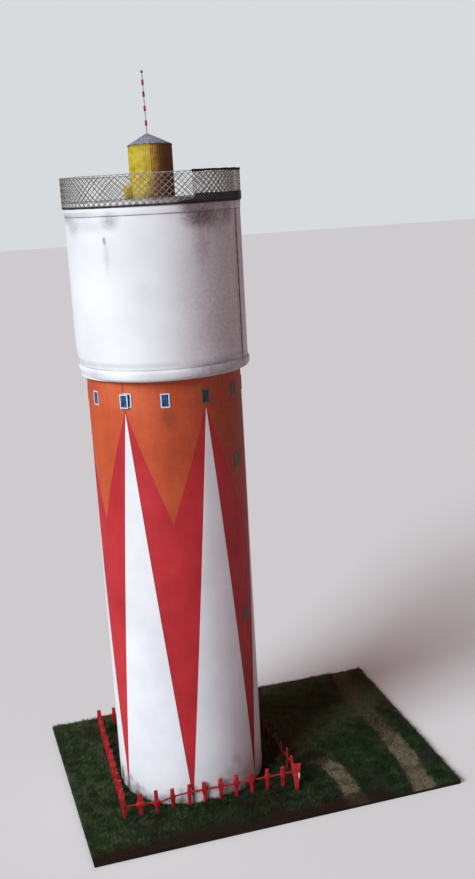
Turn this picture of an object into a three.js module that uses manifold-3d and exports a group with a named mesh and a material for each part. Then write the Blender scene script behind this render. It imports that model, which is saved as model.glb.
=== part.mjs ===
// Scale model of a round water tower with a painted shaft, standing on its own grassed base board.
// Millimetres, +Z up. The origin lies on the tower's axis, at the underside of the board.
// X runs along the board's long front edge, and Y runs from the front edge to the back one.
// An angle round the tower is in degrees, 0 at the front (-Y) and growing towards +X.

import * as THREE from 'three';
import { mergeVertices } from 'three/addons/utils/BufferGeometryUtils.js';
import Module from 'manifold-3d';

const wasm = await Module();
wasm.setup();

// Base board and its ground cover. The board's right end is cut a little out of square.
const board = {
  left: -63.9, rightAtFront: 123.2, rightAtBack: 128.4, front: -66.0, back: 73.6, thickness: 1.4,
};
const turfThickness = 0.8;
const trackThickness = 0.5;
const ground = board.thickness + turfThickness;
const trackWidth = { near: 10, far: 12 };
const nearTrackLine = [
  [67.4, board.front], [69, -44], [67.4, -26], [62.4, -8], [58.5, 18], [57, 46], [57, board.back],
];
const farTrackLine = [
  [103.4, board.front], [106.5, -46], [108.6, -26], [109.6, 0], [109.4, 28], [111, 50], [115.8, board.back],
];
const trackSteps = 14;
const footingSteps = 18;

// Fence round the tower
const fenceCorners = {
  frontLeft: [-43.4, -37.0], frontRight: [45.6, -40.0], backRight: [44.6, 57.2], backLeft: [-38.7, 57.8],
};
const fenceHeight = 12.8;
const picket = { width: 2.0, thickness: 0.8 };
const rail = { height: 0.9, thickness: 0.6, middle: 8.1, foot: 0.5 };
const fenceBays = { front: 11, back: 10, side: 12 };
const postClearance = 0.3;

// Shaft
const columnStep = 5;
const viewAngle = -13.3;
const shaftRadius = 37.5;
const tubeWall = 1.2;
const crownThickness = 0.3;
const paperGap = 0.1;
const tubeRadius = shaftRadius - crownThickness - paperGap;
const shaftTop = ground + 214.5;
const patternPeriod = 60;
const whitePeak = ground + 199.6;
const whiteFoot = ground + 1.5;
const orangePeak = ground + 200.3;
const orangeTip = ground + 145.6;

// Windows
const windowPlate = { width: 5.3, height: 7.3, thickness: 0.5 };
const windowPane = { width: 3.7, height: 5.6, recess: 0.25 };
const windowCount = 12;
const windowRingHeight = ground + 205.2;
const stairWindowHeights = [ground + 170.8, ground + 92.4];
const stairWindowAngles = [viewAngle + 60, viewAngle + 240];

// Tank
const tankRadius = 41.1;
const tankWall = 1.0;
const tankFloorRadius = 39.4;
const tankFloorThickness = 1.6;
const beadRadius = 42.0;
const beadHeight = 5.5;
const tankTop = ground + 293.0;
const bandFoot = ground + 288.5;
const bandThickness = 0.3;
const bandTop = ground + 292.0;
const tankSides = 60;
const seam = { start: 53.5, span: 14, thickness: 0.25, steps: 3 };

// Deck, and the wire mesh parapet round it
const deckRadius = 41.2;
const deckThickness = 2.0;
const deckTop = tankTop + deckThickness;
const parapet = { foot: ground + 292.1, top: ground + 306.1, inner: 41.6, thickness: 0.35 };
const selvage = 1.0;
const topWire = 0.5;
const meshColumns = 60;
const meshRows = 3;
const meshBar = 0.6;
const lap = { start: 12.7, meshSpan: 37.5, bandSpan: 54, rise: 0.5, band: 3.7, edge: 1.1, selvage: 0.4 };
const lapSteps = 12;

// Cabin and mast
const cabinOffset = { x: 0.87, y: -0.26 };
const cabinRadius = 10.3;
const cabinWall = 0.6;
const cabinTop = ground + 318.5;
const roofRadius = 10.5;
const roofThickness = 0.45;
const roofPeak = ground + 324.3;
const cabinSides = 36;
const hatch = { angle: -92.7, width: 3.8, reach: 2.9, height: 6.4, arcSteps: 6 };
const mastTop = ground + 351.9;
const wireRadius = 0.28;
const sleeveRadius = 0.55;
const sleeveHeight = 2.4;
const sleeveCentres = [4.4, 10.9, 17.2, 22.4];
const mastSides = 8;
const mastLean = 0.9;

const paint = {
  boardBrown: [0x33211c, 0.8, 0],
  turfGreen: [0x2c3a20, 1.0, 0],
  trackSand: [0x8d8063, 1.0, 0],
  fenceRed: [0xb8202a, 0.55, 0],
  shaftRed: [0xc22433, 0.6, 0],
  shaftOrange: [0xcd5a2a, 0.6, 0],
  cardWhite: [0xe9e8ea, 0.6, 0],
  windowBlue: [0x24507f, 0.5, 0],
  deckGrey: [0xb9b7b3, 0.8, 0],
  meshDark: [0x4a4a48, 0.5, 0.8],
  bandBlack: [0x1c1a1c, 0.7, 0],
  cabinYellow: [0xd8b42a, 0.55, 0],
  roofGrey: [0x8b8b9b, 0.6, 0],
  mastWhite: [0xe2e0e0, 0.5, 0],
};

const group = new THREE.Group();

function addMesh(name, geometry, [color, roughness, metalness], parent = group) {
  const mesh = new THREE.Mesh(geometry, new THREE.MeshStandardMaterial({ color, roughness, metalness }));
  mesh.name = name;
  parent.add(mesh);
  return mesh;
}

function around(radius, angle, height) {
  const turn = THREE.MathUtils.degToRad(angle);
  return new THREE.Vector3(radius * Math.sin(turn), -radius * Math.cos(turn), height);
}

// Closed solids from lists of corners and quads

function solidFrom(corners, faces) {
  const geometry = new THREE.BufferGeometry();
  const numbers = corners.flatMap((corner) => corner.toArray());
  geometry.setAttribute('position', new THREE.Float32BufferAttribute(numbers, 3));
  geometry.setIndex(faces.flat());
  return geometry;
}

function quad(a, b, c, d) {
  return [a, b, c, a, c, d];
}

// A curved sheet round the axis: at each angle it runs from lowAt to highAt. It closes on itself
// over a full turn, and has two ends otherwise.
function curvedSheet(innerRadius, outerRadius, angles, lowAt, highAt, closed) {
  const corners = [];
  for (const angle of angles) {
    corners.push(around(innerRadius, angle, lowAt(angle)));
    corners.push(around(outerRadius, angle, lowAt(angle)));
    corners.push(around(outerRadius, angle, highAt(angle)));
    corners.push(around(innerRadius, angle, highAt(angle)));
  }
  const faces = [];
  const count = angles.length;
  const spans = closed ? count : count - 1;
  for (let i = 0; i < spans; i += 1) {
    const here = 4 * i;
    const next = 4 * ((i + 1) % count);
    for (let side = 0; side < 4; side += 1) {
      const following = (side + 1) % 4;
      faces.push(quad(here + side, next + side, next + following, here + following));
    }
  }
  if (!closed) {
    const last = 4 * (count - 1);
    faces.push(quad(0, 1, 2, 3));
    faces.push(quad(last + 3, last + 2, last + 1, last));
  }
  return solidFrom(corners, faces);
}

function fullTurn(step) {
  return Array.from({ length: Math.round(360 / step) }, (_, i) => viewAngle + i * step);
}

function arcAngles(start, span, steps) {
  return Array.from({ length: steps + 1 }, (_, i) => start + (span * i) / steps);
}

function turned(profile, sides) {
  const points = profile.map(([radius, height]) => new THREE.Vector2(radius, height));
  return new THREE.LatheGeometry(points, sides).rotateX(Math.PI / 2);
}

function disc(radius, low, high, sides) {
  const geometry = new THREE.CylinderGeometry(radius, radius, high - low, sides);
  return geometry.rotateX(Math.PI / 2).translate(0, 0, (low + high) / 2);
}

function block(x0, x1, y0, y1, z0, z1) {
  const geometry = new THREE.BoxGeometry(x1 - x0, y1 - y0, z1 - z0);
  return geometry.translate((x0 + x1) / 2, (y0 + y1) / 2, (z0 + z1) / 2);
}

// Joins and cuts of closed solids

function toManifold(geometry) {
  const bare = geometry.clone();
  bare.deleteAttribute('normal');
  bare.deleteAttribute('uv');
  const merged = mergeVertices(bare, 1e-4);
  return new wasm.Manifold(new wasm.Mesh({
    numProp: 3,
    vertProperties: new Float32Array(merged.attributes.position.array),
    triVerts: new Uint32Array(merged.index.array),
  }));
}

function fromManifold(solid) {
  const { vertProperties, triVerts } = solid.getMesh();
  const geometry = new THREE.BufferGeometry();
  geometry.setAttribute('position', new THREE.BufferAttribute(new Float32Array(vertProperties), 3));
  geometry.setIndex(new THREE.BufferAttribute(new Uint32Array(triVerts), 1));
  return geometry;
}

function joined(geometries) {
  return fromManifold(geometries.map(toManifold).reduce((whole, piece) => whole.add(piece)));
}

function cut(geometry, cutter) {
  return fromManifold(toManifold(geometry).subtract(toManifold(cutter)));
}

// Base board, turf and wheel tracks

function trackEdges(line, width) {
  const curve = new THREE.SplineCurve(line.map(([x, y]) => new THREE.Vector2(x, y)));
  const middle = curve.getPoints(trackSteps);
  const edge = (side) => middle.map((p, i) => {
    const along = curve.getTangent(i / trackSteps);
    const point = new THREE.Vector2(p.x + (side * along.y * width) / 2, p.y - (side * along.x * width) / 2);
    const atEnd = i === 0 || i === trackSteps;
    return atEnd ? new THREE.Vector2(p.x + (side * width) / 2, p.y) : point;
  });
  return { left: edge(-1), right: edge(1) };
}

function layer(leftEdge, rightEdge, low, thickness, hole) {
  const shape = new THREE.Shape([...rightEdge, ...[...leftEdge].reverse()]);
  if (hole) {
    shape.holes.push(hole);
  }
  const slab = new THREE.ExtrudeGeometry(shape, {
    depth: thickness, bevelEnabled: false, curveSegments: footingSteps,
  });
  return slab.translate(0, 0, low);
}

function buildGround() {
  const leftSide = [new THREE.Vector2(board.left, board.front), new THREE.Vector2(board.left, board.back)];
  const rightSide = [
    new THREE.Vector2(board.rightAtFront, board.front), new THREE.Vector2(board.rightAtBack, board.back),
  ];
  addMesh('base_board', layer(leftSide, rightSide, 0, board.thickness), paint.boardBrown);
  const near = trackEdges(nearTrackLine, trackWidth.near);
  const far = trackEdges(farTrackLine, trackWidth.far);
  const footing = new THREE.Path().absarc(0, 0, shaftRadius + postClearance, 0, 2 * Math.PI, true);
  const onBoard = (left, right, thickness, hole) => layer(left, right, board.thickness, thickness, hole);
  addMesh('turf_tower_side', onBoard(leftSide, near.left, turfThickness, footing), paint.turfGreen);
  addMesh('track_near', onBoard(near.left, near.right, trackThickness), paint.trackSand);
  addMesh('turf_between_tracks', onBoard(near.right, far.left, turfThickness), paint.turfGreen);
  addMesh('track_far', onBoard(far.left, far.right, trackThickness), paint.trackSand);
  addMesh('turf_far_side', onBoard(far.right, rightSide, turfThickness), paint.turfGreen);
}

// Picket fence: each panel is one moulded strip with its pickets and two rails

function fencePanel(length, bays, hasCorners) {
  const pieces = [];
  const half = picket.width / 2;
  const picketSide = picket.thickness / 2;
  const firstPicket = hasCorners ? 0 : 1;
  for (let i = firstPicket; i <= bays - firstPicket; i += 1) {
    const middle = (length * i) / bays;
    pieces.push(block(middle - half, middle + half, -picketSide, picketSide, 0, fenceHeight));
  }
  const railSide = rail.thickness / 2;
  const railStart = hasCorners ? 0 : picketSide + postClearance;
  for (const foot of [rail.foot, rail.middle]) {
    pieces.push(block(railStart, length - railStart, -railSide, railSide, foot, foot + rail.height));
  }
  return joined(pieces);
}

function addPanel(name, from, to, bays, hasCorners) {
  const way = new THREE.Vector2(to[0] - from[0], to[1] - from[1]);
  const panel = fencePanel(way.length(), bays, hasCorners);
  addMesh(name, panel.rotateZ(way.angle()).translate(from[0], from[1], ground), paint.fenceRed);
}

function buildFence() {
  const { frontLeft, frontRight, backRight, backLeft } = fenceCorners;
  addPanel('fence_front', frontLeft, frontRight, fenceBays.front, true);
  addPanel('fence_back', backLeft, backRight, fenceBays.back, true);
  addPanel('fence_left', frontLeft, backLeft, fenceBays.side, false);
  addPanel('fence_right', frontRight, backRight, fenceBays.side, false);
}

// Shaft: a card tube with two zigzag paper crowns over it

function zigzag(angle, heightAtTip, heightAtPeak) {
  const half = patternPeriod / 2;
  const turn = Math.abs(((angle - viewAngle + half) % patternPeriod + patternPeriod) % patternPeriod - half);
  return THREE.MathUtils.lerp(heightAtTip, heightAtPeak, turn / half);
}

function buildShaft() {
  const angles = fullTurn(columnStep);
  const foot = () => board.thickness;
  const head = () => shaftTop;
  const tube = curvedSheet(tubeRadius - tubeWall, tubeRadius, angles, foot, head, true);
  addMesh('shaft_tube', tube, paint.shaftRed);
  const crownInner = tubeRadius + paperGap;
  const orangeEdge = (angle) => zigzag(angle, orangeTip, orangePeak);
  const whiteEdge = (angle) => zigzag(angle, whiteFoot, whitePeak);
  const orange = curvedSheet(crownInner, shaftRadius, angles, orangeEdge, head, true);
  addMesh('orange_crown', orange, paint.shaftOrange);
  const white = curvedSheet(crownInner, shaftRadius, angles, foot, whiteEdge, true);
  addMesh('white_crown', white, paint.cardWhite);
}

// Windows: a white framed plate with its pane set back

function windowGeometry() {
  const { width, height, thickness } = windowPlate;
  const plate = block(-width / 2, width / 2, -thickness, 0, -height / 2, height / 2);
  const paneSide = windowPane.width / 2;
  const paneTop = windowPane.height / 2;
  const paneFace = -thickness + windowPane.recess;
  const pocket = block(-paneSide, paneSide, -2 * thickness, paneFace, -paneTop, paneTop);
  return cut(plate, pocket);
}

function addWindow(name, angle, height, wallRadius) {
  const mesh = addMesh(name, windowGeometry(), paint.windowBlue);
  mesh.position.copy(around(wallRadius + paperGap, angle, height));
  mesh.rotation.z = THREE.MathUtils.degToRad(angle);
}

function twoDigits(number) {
  return String(number).padStart(2, '0');
}

function buildWindows() {
  for (let i = 0; i < windowCount; i += 1) {
    const angle = viewAngle + (360 / windowCount) * i;
    addWindow(`window_ring_${twoDigits(i + 1)}`, angle, windowRingHeight, shaftRadius);
  }
  let number = 0;
  for (const angle of stairWindowAngles) {
    for (const height of stairWindowHeights) {
      number += 1;
      const wallRadius = height > orangeTip ? shaftRadius : tubeRadius;
      addWindow(`stair_window_${twoDigits(number)}`, angle, height, wallRadius);
    }
  }
}

// Tank: floor disc, wall, rounded ring at the foot, proud band at the head, lapped seam, deck

function buildTank() {
  const angles = fullTurn(360 / tankSides);
  const wallFoot = shaftTop + tankFloorThickness;
  addMesh('tank_floor', disc(tankFloorRadius, shaftTop, wallFoot, tankSides), paint.cardWhite);
  const wallInner = tankRadius - tankWall;
  const wall = curvedSheet(wallInner, tankRadius, angles, () => wallFoot + paperGap, () => tankTop, true);
  addMesh('tank_wall', wall, paint.cardWhite);
  const wallSide = tankRadius + paperGap;
  const underside = tankFloorRadius + paperGap;
  const beadTop = shaftTop + beadHeight;
  const bulge = beadRadius - wallSide;
  const ring = turned([
    [underside, shaftTop],
    [wallSide, shaftTop + 0.15 * beadHeight],
    [wallSide + 0.8 * bulge, shaftTop + 0.3 * beadHeight],
    [beadRadius, shaftTop + 0.55 * beadHeight],
    [wallSide + 0.6 * bulge, beadTop],
    [wallSide, beadTop],
    [wallSide, wallFoot],
    [underside, wallFoot],
    [underside, shaftTop],
  ], tankSides);
  addMesh('tank_bottom_ring', ring, paint.cardWhite);
  const band = curvedSheet(wallSide, wallSide + bandThickness, angles, () => bandFoot, () => bandTop, true);
  addMesh('tank_top_band', band, paint.cardWhite);
  const seamFoot = () => shaftTop + beadHeight + paperGap;
  const seamHead = () => bandFoot - paperGap;
  const seamAngles = arcAngles(seam.start, seam.span, seam.steps);
  const strip = curvedSheet(wallSide, wallSide + seam.thickness, seamAngles, seamFoot, seamHead, false);
  addMesh('tank_seam_strip', strip, paint.cardWhite);
  addMesh('deck', disc(deckRadius, tankTop, deckTop, tankSides), paint.deckGrey);
}

// Parapet: diamonds cut out of thin curved sheets. Where its two ends lap, a second sheet and its
// black band and edge lie outside the first.

function diamond(angle, height, halfAngle, halfHeight, radius) {
  const outline = [[-halfAngle, 0], [0, -halfHeight], [halfAngle, 0], [0, halfHeight]];
  return outline.map(([turn, rise]) => around(radius, angle + turn, height + rise));
}

function meshSheet(start, span, foot, head, lowBand, topBand, innerRadius) {
  const outerRadius = innerRadius + parapet.thickness;
  const columns = Math.round((meshColumns * span) / 360);
  const columnAngle = span / columns;
  const rowHeight = (head - topBand - foot - lowBand) / meshRows;
  const halfAngle = (columnAngle - THREE.MathUtils.radToDeg(meshBar / outerRadius)) / 2;
  const halfHeight = (rowHeight - meshBar) / 2;
  const corners = [];
  const faces = [];
  for (let row = 0; row < 2 * meshRows - 1; row += 1) {
    const height = foot + lowBand + (rowHeight * (row + 1)) / 2;
    const fullRow = row % 2 === 0;
    const holes = fullRow ? columns : columns - 1;
    for (let column = 0; column < holes; column += 1) {
      const angle = start + (column + (fullRow ? 0.5 : 1)) * columnAngle;
      const base = corners.length;
      corners.push(...diamond(angle, height, halfAngle, halfHeight, innerRadius - 1));
      corners.push(...diamond(angle, height, halfAngle, halfHeight, outerRadius + 1));
      faces.push(quad(base + 3, base + 2, base + 1, base));
      faces.push(quad(base + 4, base + 5, base + 6, base + 7));
      for (let side = 0; side < 4; side += 1) {
        const next = (side + 1) % 4;
        faces.push(quad(base + side, base + next, base + 4 + next, base + 4 + side));
      }
    }
  }
  const angles = arcAngles(start, span, columns);
  const sheet = curvedSheet(innerRadius, outerRadius, angles, () => foot, () => head, false);
  return cut(sheet, solidFrom(corners, faces));
}

function buildParapet() {
  const gapAngle = THREE.MathUtils.radToDeg(paperGap / parapet.inner);
  for (let quarter = 0; quarter < 4; quarter += 1) {
    const start = lap.start + 90 * quarter;
    const sheet = meshSheet(start, 90 - gapAngle, parapet.foot, parapet.top, selvage, topWire, parapet.inner);
    addMesh(`parapet_mesh_${quarter + 1}`, sheet, paint.meshDark);
  }
  const inner = parapet.inner + parapet.thickness + paperGap;
  const outer = inner + parapet.thickness;
  const foot = parapet.foot + lap.rise;
  const head = parapet.top + lap.rise;
  const bandTopEdge = foot + lap.band;
  const edgeFoot = head - lap.edge;
  const bandAngles = arcAngles(lap.start, lap.bandSpan, lapSteps);
  const band = curvedSheet(inner, outer, bandAngles, () => foot, () => bandTopEdge, false);
  addMesh('parapet_lap_band', band, paint.bandBlack);
  const edge = curvedSheet(inner, outer, bandAngles, () => edgeFoot, () => head, false);
  addMesh('parapet_lap_edge', edge, paint.bandBlack);
  const low = bandTopEdge + paperGap;
  const high = edgeFoot - paperGap;
  const lapMesh = meshSheet(lap.start, lap.meshSpan, low, high, lap.selvage, lap.selvage, inner);
  addMesh('parapet_lap_mesh', lapMesh, paint.meshDark);
}

// Cabin with its cone roof and hatch, and the mast on its peak. The cabin stands a little off the
// tower's axis, and the roof leans back so that its peak is on it.

function buildCabin() {
  const { x, y } = cabinOffset;
  const wall = turned([
    [cabinRadius - cabinWall, deckTop],
    [cabinRadius, deckTop],
    [cabinRadius, cabinTop],
    [cabinRadius - cabinWall, cabinTop],
    [cabinRadius - cabinWall, deckTop],
  ], cabinSides);
  addMesh('cabin_wall', wall.translate(x, y, 0), paint.cabinYellow);
  const rise = roofPeak - cabinTop;
  const roof = turned([
    [0, rise - roofThickness],
    [roofRadius, 0],
    [roofRadius, roofThickness],
    [0, rise],
  ], cabinSides);
  roof.applyMatrix4(new THREE.Matrix4().makeShear(0, 0, 0, 0, -x / rise, -y / rise));
  addMesh('cabin_roof', roof.translate(x, y, cabinTop), paint.roofGrey);
  const half = hatch.width / 2;
  const outline = new THREE.Shape();
  outline.moveTo(-half, 0);
  outline.lineTo(half, 0);
  outline.absarc(0, hatch.height - half, half, 0, Math.PI, false);
  const body = new THREE.ExtrudeGeometry(outline, {
    depth: hatch.reach, bevelEnabled: false, curveSegments: hatch.arcSteps,
  });
  const foot = around(cabinRadius + paperGap, hatch.angle, deckTop);
  const hatchMesh = addMesh('cabin_hatch', body.rotateX(Math.PI / 2), paint.cabinYellow);
  hatchMesh.position.set(foot.x + x, foot.y + y, foot.z);
  hatchMesh.rotation.z = THREE.MathUtils.degToRad(hatch.angle);
}

function buildMast() {
  const foot = new THREE.Group();
  foot.position.z = roofPeak + paperGap;
  foot.rotation.y = THREE.MathUtils.degToRad(-mastLean);
  group.add(foot);
  const height = mastTop - roofPeak;
  const profile = [[0, 0], [wireRadius, 0]];
  for (const centre of sleeveCentres) {
    profile.push([wireRadius, centre - sleeveHeight / 2]);
    profile.push([sleeveRadius, centre - sleeveHeight / 2]);
    profile.push([sleeveRadius, centre + sleeveHeight / 2]);
    profile.push([wireRadius, centre + sleeveHeight / 2]);
  }
  profile.push([wireRadius, height - 2 * sleeveRadius]);
  profile.push([sleeveRadius, height - 1.6 * sleeveRadius]);
  profile.push([sleeveRadius, height - 0.4 * sleeveRadius]);
  profile.push([0, height]);
  addMesh('mast', turned(profile, mastSides), paint.mastWhite, foot);
}

buildGround();
buildFence();
buildShaft();
buildWindows();
buildTank();
buildParapet();
buildCabin();
buildMast();

export default group;
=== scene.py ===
# A hand-made card model of a round water tower on its own grassed board, dressed for Blender 4.5.
# Metres, +Z up. The origin lies on the tower's axis, at the underside of the board.
# The dictionaries give sizes in mm, unless a comment names another unit.
# Angles round the tower are in degrees, 0 at the front (-Y) and growing towards +X.

import math
import random

import bpy
from mathutils import Matrix, Vector, noise


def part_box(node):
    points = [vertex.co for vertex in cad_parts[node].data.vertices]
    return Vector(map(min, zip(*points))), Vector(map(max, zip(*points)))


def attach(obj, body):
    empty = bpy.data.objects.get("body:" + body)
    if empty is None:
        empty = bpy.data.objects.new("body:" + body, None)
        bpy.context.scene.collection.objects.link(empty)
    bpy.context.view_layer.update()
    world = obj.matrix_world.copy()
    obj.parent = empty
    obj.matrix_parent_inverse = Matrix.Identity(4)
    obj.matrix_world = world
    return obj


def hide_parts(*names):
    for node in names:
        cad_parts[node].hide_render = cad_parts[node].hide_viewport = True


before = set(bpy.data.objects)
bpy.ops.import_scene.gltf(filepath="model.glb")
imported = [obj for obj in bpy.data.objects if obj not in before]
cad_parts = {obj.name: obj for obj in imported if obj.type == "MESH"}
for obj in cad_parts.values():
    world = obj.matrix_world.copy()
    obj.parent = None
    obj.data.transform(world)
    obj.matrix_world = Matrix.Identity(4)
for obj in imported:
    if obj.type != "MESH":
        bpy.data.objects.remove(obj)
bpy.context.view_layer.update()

mm = 0.001
alongAxis = 0.9  # the least share of a direction that counts as along an axis
random.seed(7)


# Reading sizes and places from the CAD nodes

def cornersOf(node):
    return [corner.co.copy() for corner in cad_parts[node].data.vertices]


def angleOf(point):
    return math.degrees(math.atan2(point.x, -point.y))


def onTower(radius, angle, height):
    turn = math.radians(angle)
    return Vector((radius * math.sin(turn), -radius * math.cos(turn), height))


def radiiOf(node):
    reach = [math.hypot(corner.x, corner.y) for corner in cornersOf(node)]
    return min(reach), max(reach)


def sweepOf(node):
    corners = cornersOf(node)
    middle = angleOf(sum(corners, Vector()))
    turns = [(angleOf(corner) - middle + 180) % 360 - 180 for corner in corners]
    return middle + min(turns), middle + max(turns)


def middleOf(node):
    low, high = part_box(node)
    return (low + high) / 2


facing = angleOf(middleOf("window_ring_01"))  # the window that looks at the camera
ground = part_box("turf_tower_side")[1].z
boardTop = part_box("base_board")[1].z


# A CAD node's name in camelCase, for the piece that takes its place
def camelName(node):
    first, *others = node.split("_")
    return first + "".join(word.title() for word in others)


# Modelling helpers

def selectOnly(*pieces):
    if bpy.context.object and bpy.context.object.mode != "OBJECT":
        bpy.ops.object.mode_set(mode="OBJECT")
    bpy.ops.object.select_all(action="DESELECT")
    for piece in pieces:
        piece.select_set(True)
    bpy.context.view_layer.objects.active = pieces[0]


def placeInMesh(piece):
    selectOnly(piece)
    bpy.ops.object.transform_apply(location=True, rotation=True, scale=True)


def boxAt(middle, size):
    bpy.ops.mesh.primitive_cube_add(size=1, location=middle, scale=size)
    box = bpy.context.object
    placeInMesh(box)
    return box


# Leaves the piece in edit mode, with only the faces, edges or corners that pass the test selected
def pick(piece, kind, test):
    selectOnly(piece)
    bpy.ops.object.mode_set(mode="EDIT")
    bpy.ops.mesh.select_mode(type=kind)
    bpy.ops.mesh.select_all(action="DESELECT")
    bpy.ops.object.mode_set(mode="OBJECT")
    mesh = piece.data
    if kind == "FACE":
        for face in mesh.polygons:
            face.select = test(face.center, face.normal)
    elif kind == "EDGE":
        for edge in mesh.edges:
            start, end = (mesh.vertices[number].co for number in edge.vertices)
            edge.select = test((start + end) / 2, (end - start).normalized())
    else:
        for corner in mesh.vertices:
            corner.select = test(corner.co, corner.normal)
    bpy.ops.object.mode_set(mode="EDIT")


def leaveEdit():
    bpy.ops.object.mode_set(mode="OBJECT")


# Cuts the edges that run along one axis into equal lengths
def cutAlong(piece, axis, cuts):
    pick(piece, "EDGE", lambda middle, way: abs(getattr(way, axis)) > alongAxis)
    bpy.ops.mesh.subdivide(number_cuts=cuts)
    leaveEdit()


def fixNormals(piece):
    pick(piece, "FACE", lambda centre, normal: True)
    bpy.ops.mesh.normals_make_consistent(inside=False)
    leaveEdit()


def modify(piece, kind, **settings):
    selectOnly(piece)
    modifier = piece.modifiers.new(kind.title(), kind)
    for name, value in settings.items():
        setattr(modifier, name, value)
    bpy.ops.object.modifier_apply(modifier=modifier.name)


# Rounds the edges that turn by more than an angle in degrees
def roundEdges(piece, width, steps=2, angle=60):
    modify(piece, "BEVEL", width=width, segments=steps, limit_method="ANGLE",
           angle_limit=math.radians(angle))


# Gives a sheet its thickness, inwards from where it lies
def thicken(piece, thickness):
    modify(piece, "SOLIDIFY", thickness=thickness, offset=-1)


def smoothShade(piece, angle=35):
    selectOnly(piece)
    bpy.ops.object.shade_smooth_by_angle(angle=math.radians(angle))


def copyOf(piece):
    twin = piece.copy()
    twin.data = piece.data.copy()
    bpy.context.collection.objects.link(twin)
    return twin


def joined(pieces):
    for piece in pieces:
        placeInMesh(piece)
    selectOnly(*pieces)
    if len(pieces) > 1:
        bpy.ops.object.join()
    return bpy.context.object


def coat(piece, materials):
    for material in materials:
        piece.data.materials.append(material)


def paintFaces(piece, numberFor):
    for face in piece.data.polygons:
        face.material_index = numberFor(face)


def finishPiece(piece, name, materials, nodes=()):
    placeInMesh(piece)
    piece.name = name
    piece.data.name = name
    if not piece.data.materials:
        coat(piece, materials)
    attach(piece, "root")
    if nodes:
        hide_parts(*nodes)
    return piece


# A flat sheet's X becomes the way round the tower, and its -Y the way outwards
def wrapRound(piece, radius, startAngle):
    placeInMesh(piece)
    for corner in piece.data.vertices:
        angle = startAngle + math.degrees(corner.co.x / radius)
        corner.co = onTower(radius - corner.co.y, angle, corner.co.z)
    piece.data.update()


# An open tube, turned so that a column lies on the facing angle. Its foot and its head are heights, or
# rules that give a height for an angle.
def openTube(radius, columns, foot, head):
    bpy.ops.mesh.primitive_cylinder_add(
        vertices=columns, radius=radius, depth=1, end_fill_type="NOTHING",
        rotation=(0, 0, math.radians(facing)),
    )
    tube = bpy.context.object
    placeInMesh(tube)
    for corner in tube.data.vertices:
        end = head if corner.co.z > 0 else foot
        corner.co.z = end(angleOf(corner.co)) if callable(end) else end
    tube.data.update()
    return tube


# Material helpers

def hexColor(text):
    parts = [int(text[start:start + 2], 16) / 255 for start in (0, 2, 4)]
    return [p / 12.92 if p <= 0.04045 else ((p + 0.055) / 1.055) ** 2.4 for p in parts] + [1.0]


def addNode(tree, kind, inputs=None, stops=(), **settings):
    node = tree.nodes.new(kind)
    for name, value in settings.items():
        setattr(node, name, value)
    for name, value in (inputs or {}).items():
        if isinstance(value, bpy.types.NodeSocket):
            tree.links.new(value, node.inputs[name])
        else:
            node.inputs[name].default_value = value
    if stops:
        elements = node.color_ramp.elements
        elements.remove(elements[1])
        elements[0].position = stops[0][0]
        elements[0].color = hexColor(stops[0][1])
        for place, colour in stops[1:]:
            elements.new(place).color = hexColor(colour)
    return node


def startMaterial(name, **sockets):
    material = bpy.data.materials.new(name)
    material.use_nodes = True
    tree = material.node_tree
    shader = tree.nodes["Principled BSDF"]
    for socket, value in sockets.items():
        shader.inputs[socket.replace("_", " ")].default_value = value
    where = addNode(tree, "ShaderNodeTexCoord").outputs["Object"]
    return material, tree, shader, where


# Noise of a real size in mm, spread between two levels to a mask from 0 to 1
def patches(tree, where, size, low, high, detail=3.0):
    field = addNode(tree, "ShaderNodeTexNoise", {"Vector": where, "Scale": 1 / (size * mm), "Detail": detail})
    spread = addNode(tree, "ShaderNodeMapRange", {
        "Value": field.outputs["Fac"], "From Min": low, "From Max": high,
    })
    return spread.outputs["Result"]


smudgeGrain = 1.4  # mm, of the noise that breaks up a spot
smudgeLeast = 0.55  # the share of a spot that is left where that noise is lowest


# A soft spot of dirt: full at its middle and gone at its edge, broken up by fine noise
def smudge(tree, where, middle, width, height, strength):
    offset = addNode(tree, "ShaderNodeVectorMath", {0: where, 1: middle}, operation="SUBTRACT")
    halves = (width * mm / 2, width * mm / 2, height * mm / 2)
    scaled = addNode(tree, "ShaderNodeVectorMath", {0: offset.outputs[0], 1: halves}, operation="DIVIDE")
    reach = addNode(tree, "ShaderNodeVectorMath", {0: scaled.outputs[0]}, operation="LENGTH")
    soft = addNode(tree, "ShaderNodeMapRange", {
        "Value": reach.outputs["Value"], "From Min": 1.0, "From Max": 0.1, "To Max": strength,
    }, interpolation_type="SMOOTHSTEP")
    speckled = patches(tree, where, smudgeGrain, 0.3, 0.7)
    broken = addNode(tree, "ShaderNodeMapRange", {"Value": speckled, "To Min": smudgeLeast})
    mask = addNode(tree, "ShaderNodeMath", {
        0: soft.outputs["Result"], 1: broken.outputs["Result"],
    }, operation="MULTIPLY")
    return mask.outputs[0]


# The sum of some patterns, each times its share
def summed(tree, parts):
    total = 0.0
    for pattern, share in parts:
        step = addNode(tree, "ShaderNodeMath", {0: pattern, 1: share, 2: total}, operation="MULTIPLY_ADD")
        total = step.outputs[0]
    return total


# Lays tones over a colour, each one where its mask says
def laidOver(tree, colour, layers):
    for mask, tone in layers:
        above = hexColor(tone) if isinstance(tone, str) else tone
        layer = addNode(tree, "ShaderNodeMix", {0: mask, 6: colour, 7: above}, data_type="RGBA")
        colour = layer.outputs[2]
    return colour


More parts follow.
